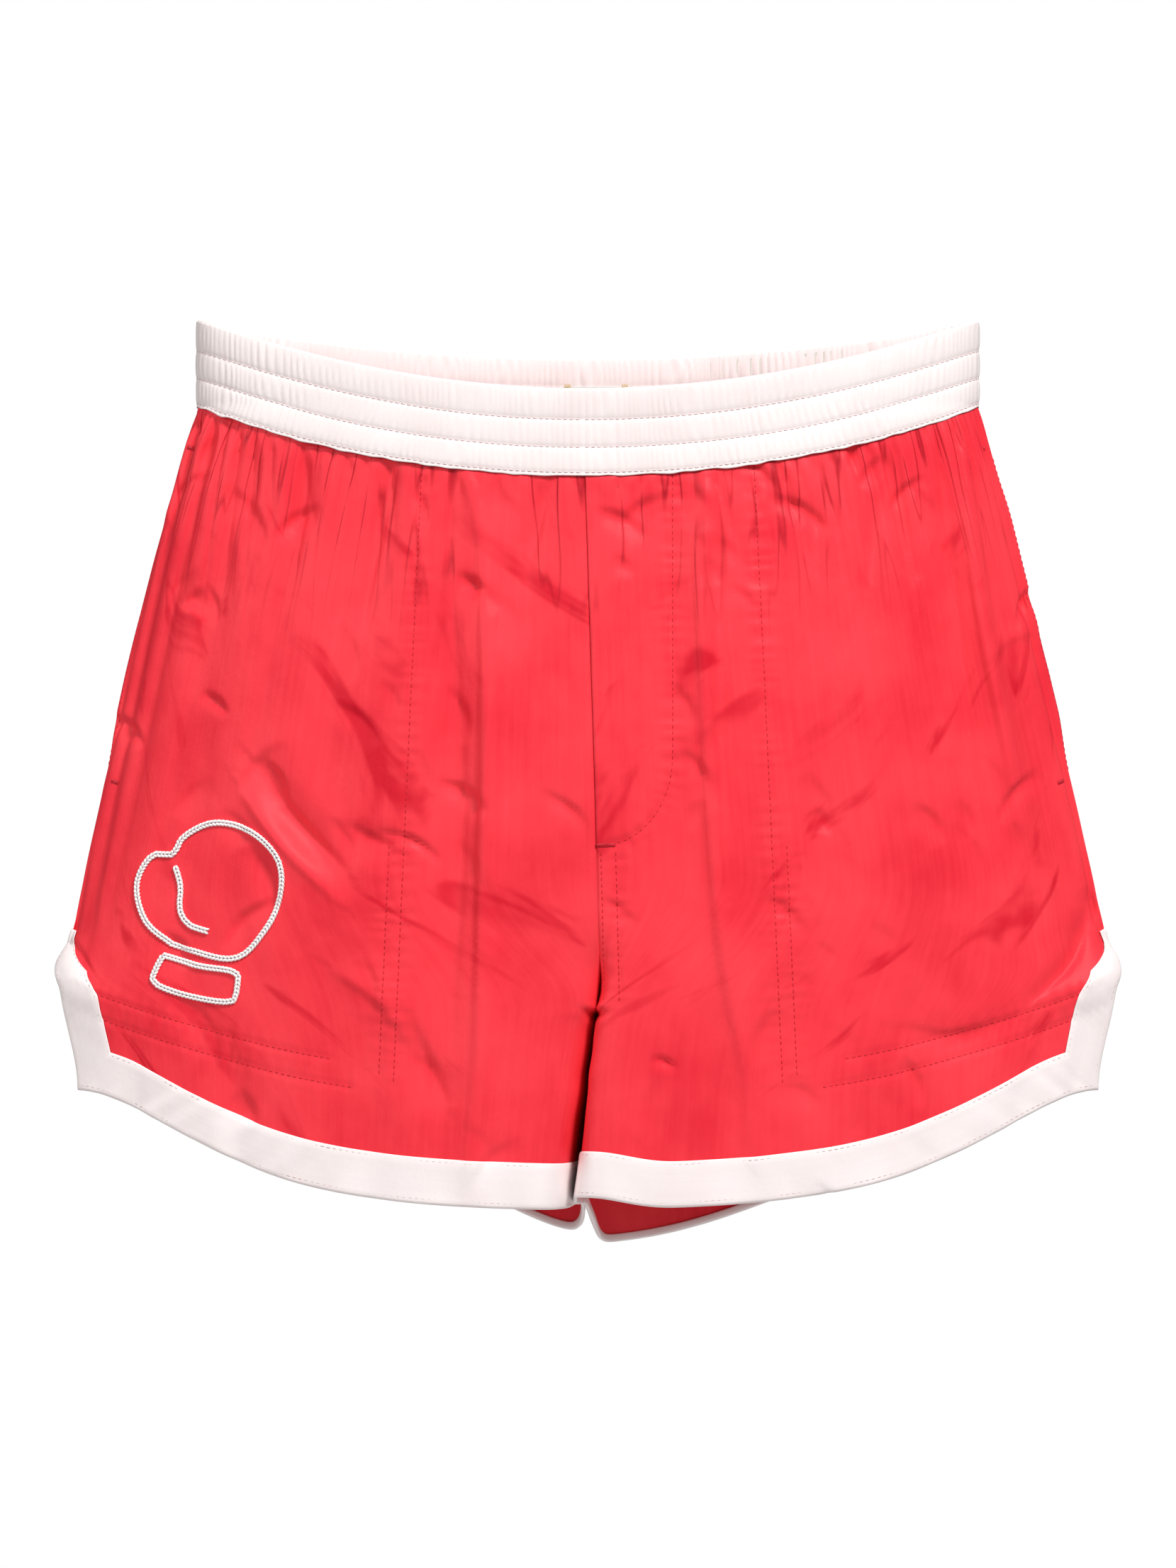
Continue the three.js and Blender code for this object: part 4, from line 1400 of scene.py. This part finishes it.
def make_bar_tack(node, panel):
    """A dense zigzag of thread over three core threads, at the place of one bar tack."""
    low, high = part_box(node)
    s0, t0 = panel.find([[(low.x + high.x) / 2, (low.z + high.z) / 2]])
    s = s0 + BAR_TACK_LENGTH / panel.reach_across.mean() * np.linspace(-0.5, 0.5, BAR_TACK_TURNS)
    half_way = BAR_TACK_WIDTH / panel.reach_down.mean() / 2
    t = t0 + half_way * np.where(np.arange(BAR_TACK_TURNS) % 2 == 0, 1, -1)
    points, normals = panel.at(s, t, 0.25 * MM)
    runs = [one_stitch(points[k:k + 2], normals[k:k + 2], 0.22 * MM) for k in range(BAR_TACK_TURNS - 1)]
    core, core_normals = panel.at(s, t0, 0.1 * MM)
    runs += [one_stitch(core, core_normals, 0.3 * MM, sideways * MM) for sideways in (-0.6, 0, 0.6)]
    piece = finish(make_mesh(node + "_thread", *joined(runs)), "red_thread", replaces=[node])
    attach(piece, "seat")


# -------- the embroidered boxing glove
CHAIN_PITCH = 1.9 * MM
CHAIN_LENGTH = 2.8 * MM
CHAIN_WIDTH = 0.72 * MM
CHAIN_SPREAD = 0.75 * MM
CHAIN_SKEW = 0.35 * MM
EMBLEM_X, EMBLEM_Z = -181, -262
EMBLEM_TILT = -0.22
GLOVE_MITT = [
    (-13, -20), (-28, -12), (-36, 4), (-32, 19), (-22, 22), (-19, 31), (-6, 41),
    (12, 41), (28, 31), (33, 14), (29, -4), (17, -20), (-13, -20),
]
GLOVE_CUFF = [
    (-16, -26), (2, -27), (20, -26), (22, -33), (21, -40), (2, -42), (-17, -40), (-18, -33), (-16, -26),
]
GLOVE_THUMB = [(-20, 17), (-15, 8), (-13, -3), (-7, -9), (3, -10)]


def make_emblem():
    panel = panels[FRONT, RIGHT]
    cosine, sine = math.cos(EMBLEM_TILT), math.sin(EMBLEM_TILT)
    parts = {"emblem_mitt": GLOVE_MITT, "emblem_cuff": GLOVE_CUFF, "emblem_thumb": GLOVE_THUMB}
    for node, outline in parts.items():
        x, z = smooth_line(outline, 10).T
        line = np.stack([x * cosine - z * sine + EMBLEM_X, x * sine + z * cosine + EMBLEM_Z], -1) * MM
        points, normals = on_panel(panel, line, 0.45 * MM)
        closed = outline[0] == outline[-1]
        stitch = (CHAIN_PITCH, CHAIN_LENGTH, CHAIN_WIDTH)
        runs = [
            thread_run(points, normals, *stitch, way * CHAIN_SPREAD, way * CHAIN_SKEW, closed)
            for way in (1, -1)
        ]
        name = node + "_chain_stitch"
        piece = finish(make_mesh(name, *joined(runs)), "ivory_thread", replaces=[node])
        follow_leg(piece, RIGHT)


# -------- the label
def make_label():
    rows, columns = 60, 40
    u, v = np.meshgrid(np.linspace(0, 1, columns), np.linspace(0, 1, rows))
    x = lerp(label_lo.x, label_hi.x, u)
    z = lerp(label_hi.z, label_lo.z, v)
    edge = np.exp(-((u / 0.04) ** 2)) + np.exp(-(((1 - u) / 0.04) ** 2)) + np.exp(-((v / 0.03) ** 2))
    curl = 1.6 * MM * v**2 * np.sin(np.pi * u) + 0.9 * MM * np.sin(4.2 * v + 0.6) * v
    y = label_hi.y - 0.1 * MM - curl - 0.12 * MM * edge
    points = np.stack([x, y, z], -1)
    uv = np.stack([x - label_lo.x, z - label_lo.z], -1)
    piece = make_mesh("waist_label_cloth", points, grid_faces(rows, columns, True), uv)
    thicken(piece, 0.4 * MM, 1.0)
    finish(piece, "label", replaces=["waist_label"])
    hinge = Vector(((label_lo.x + label_hi.x) / 2, label_hi.y, label_hi.z))
    held, free = hinge - Vector((0, 0, 2.4 * MM)), hinge - Vector((0, 0, 7 * MM))
    tuple(held)
    tuple(free)
    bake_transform(piece)
    runs = []
    normals = np.array([[0, -1, 0.0]] * 3)
    for corner_x in (label_lo.x + 1.5 * MM, label_hi.x - 1.5 * MM):
        for k in range(4):
            x = corner_x + (k - 1.5) * 0.8 * MM
            top = np.array([x, label_lo.y - 0.3 * MM, label_hi.z + 1.5 * MM])
            line = top + np.linspace(0, 1, 3)[:, None] * [0, 0, -3.6 * MM]
            runs.append(thread_run(line, normals, 3.4 * MM, 3.2 * MM, 0.3 * MM))
    stitches = finish(make_mesh("label_corner_stitches", *joined(runs)), "ivory_thread", "gold_thread")
    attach(stitches, "seat")


# -------- making it
make_materials()
panels = fine_panels()
make_panels()
make_band()
for panel in panels.values():
    make_tape(panel)
for side in (LEFT, RIGHT):
    make_topstitching(side)
    make_pocket_bag(side)
    for end in ("top", "bottom"):
        make_bar_tack(f"bar_tack_pocket_{SIDE_NAMES[side]}_{end}", panels[FRONT, side])
make_fly_facing()
make_bar_tack("bar_tack_fly", panels[FRONT, LEFT])
make_emblem()
make_label()
for level in ("bottom", "middle", "top"):
    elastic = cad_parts["elastic_" + level]
    elastic.data.materials.clear()
    elastic.data.materials.append(MATERIALS["elastic"])

boxes = {"cad": cad_box, "visual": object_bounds()}
{name: [list(corner) for corner in box] for name, box in boxes.items()}
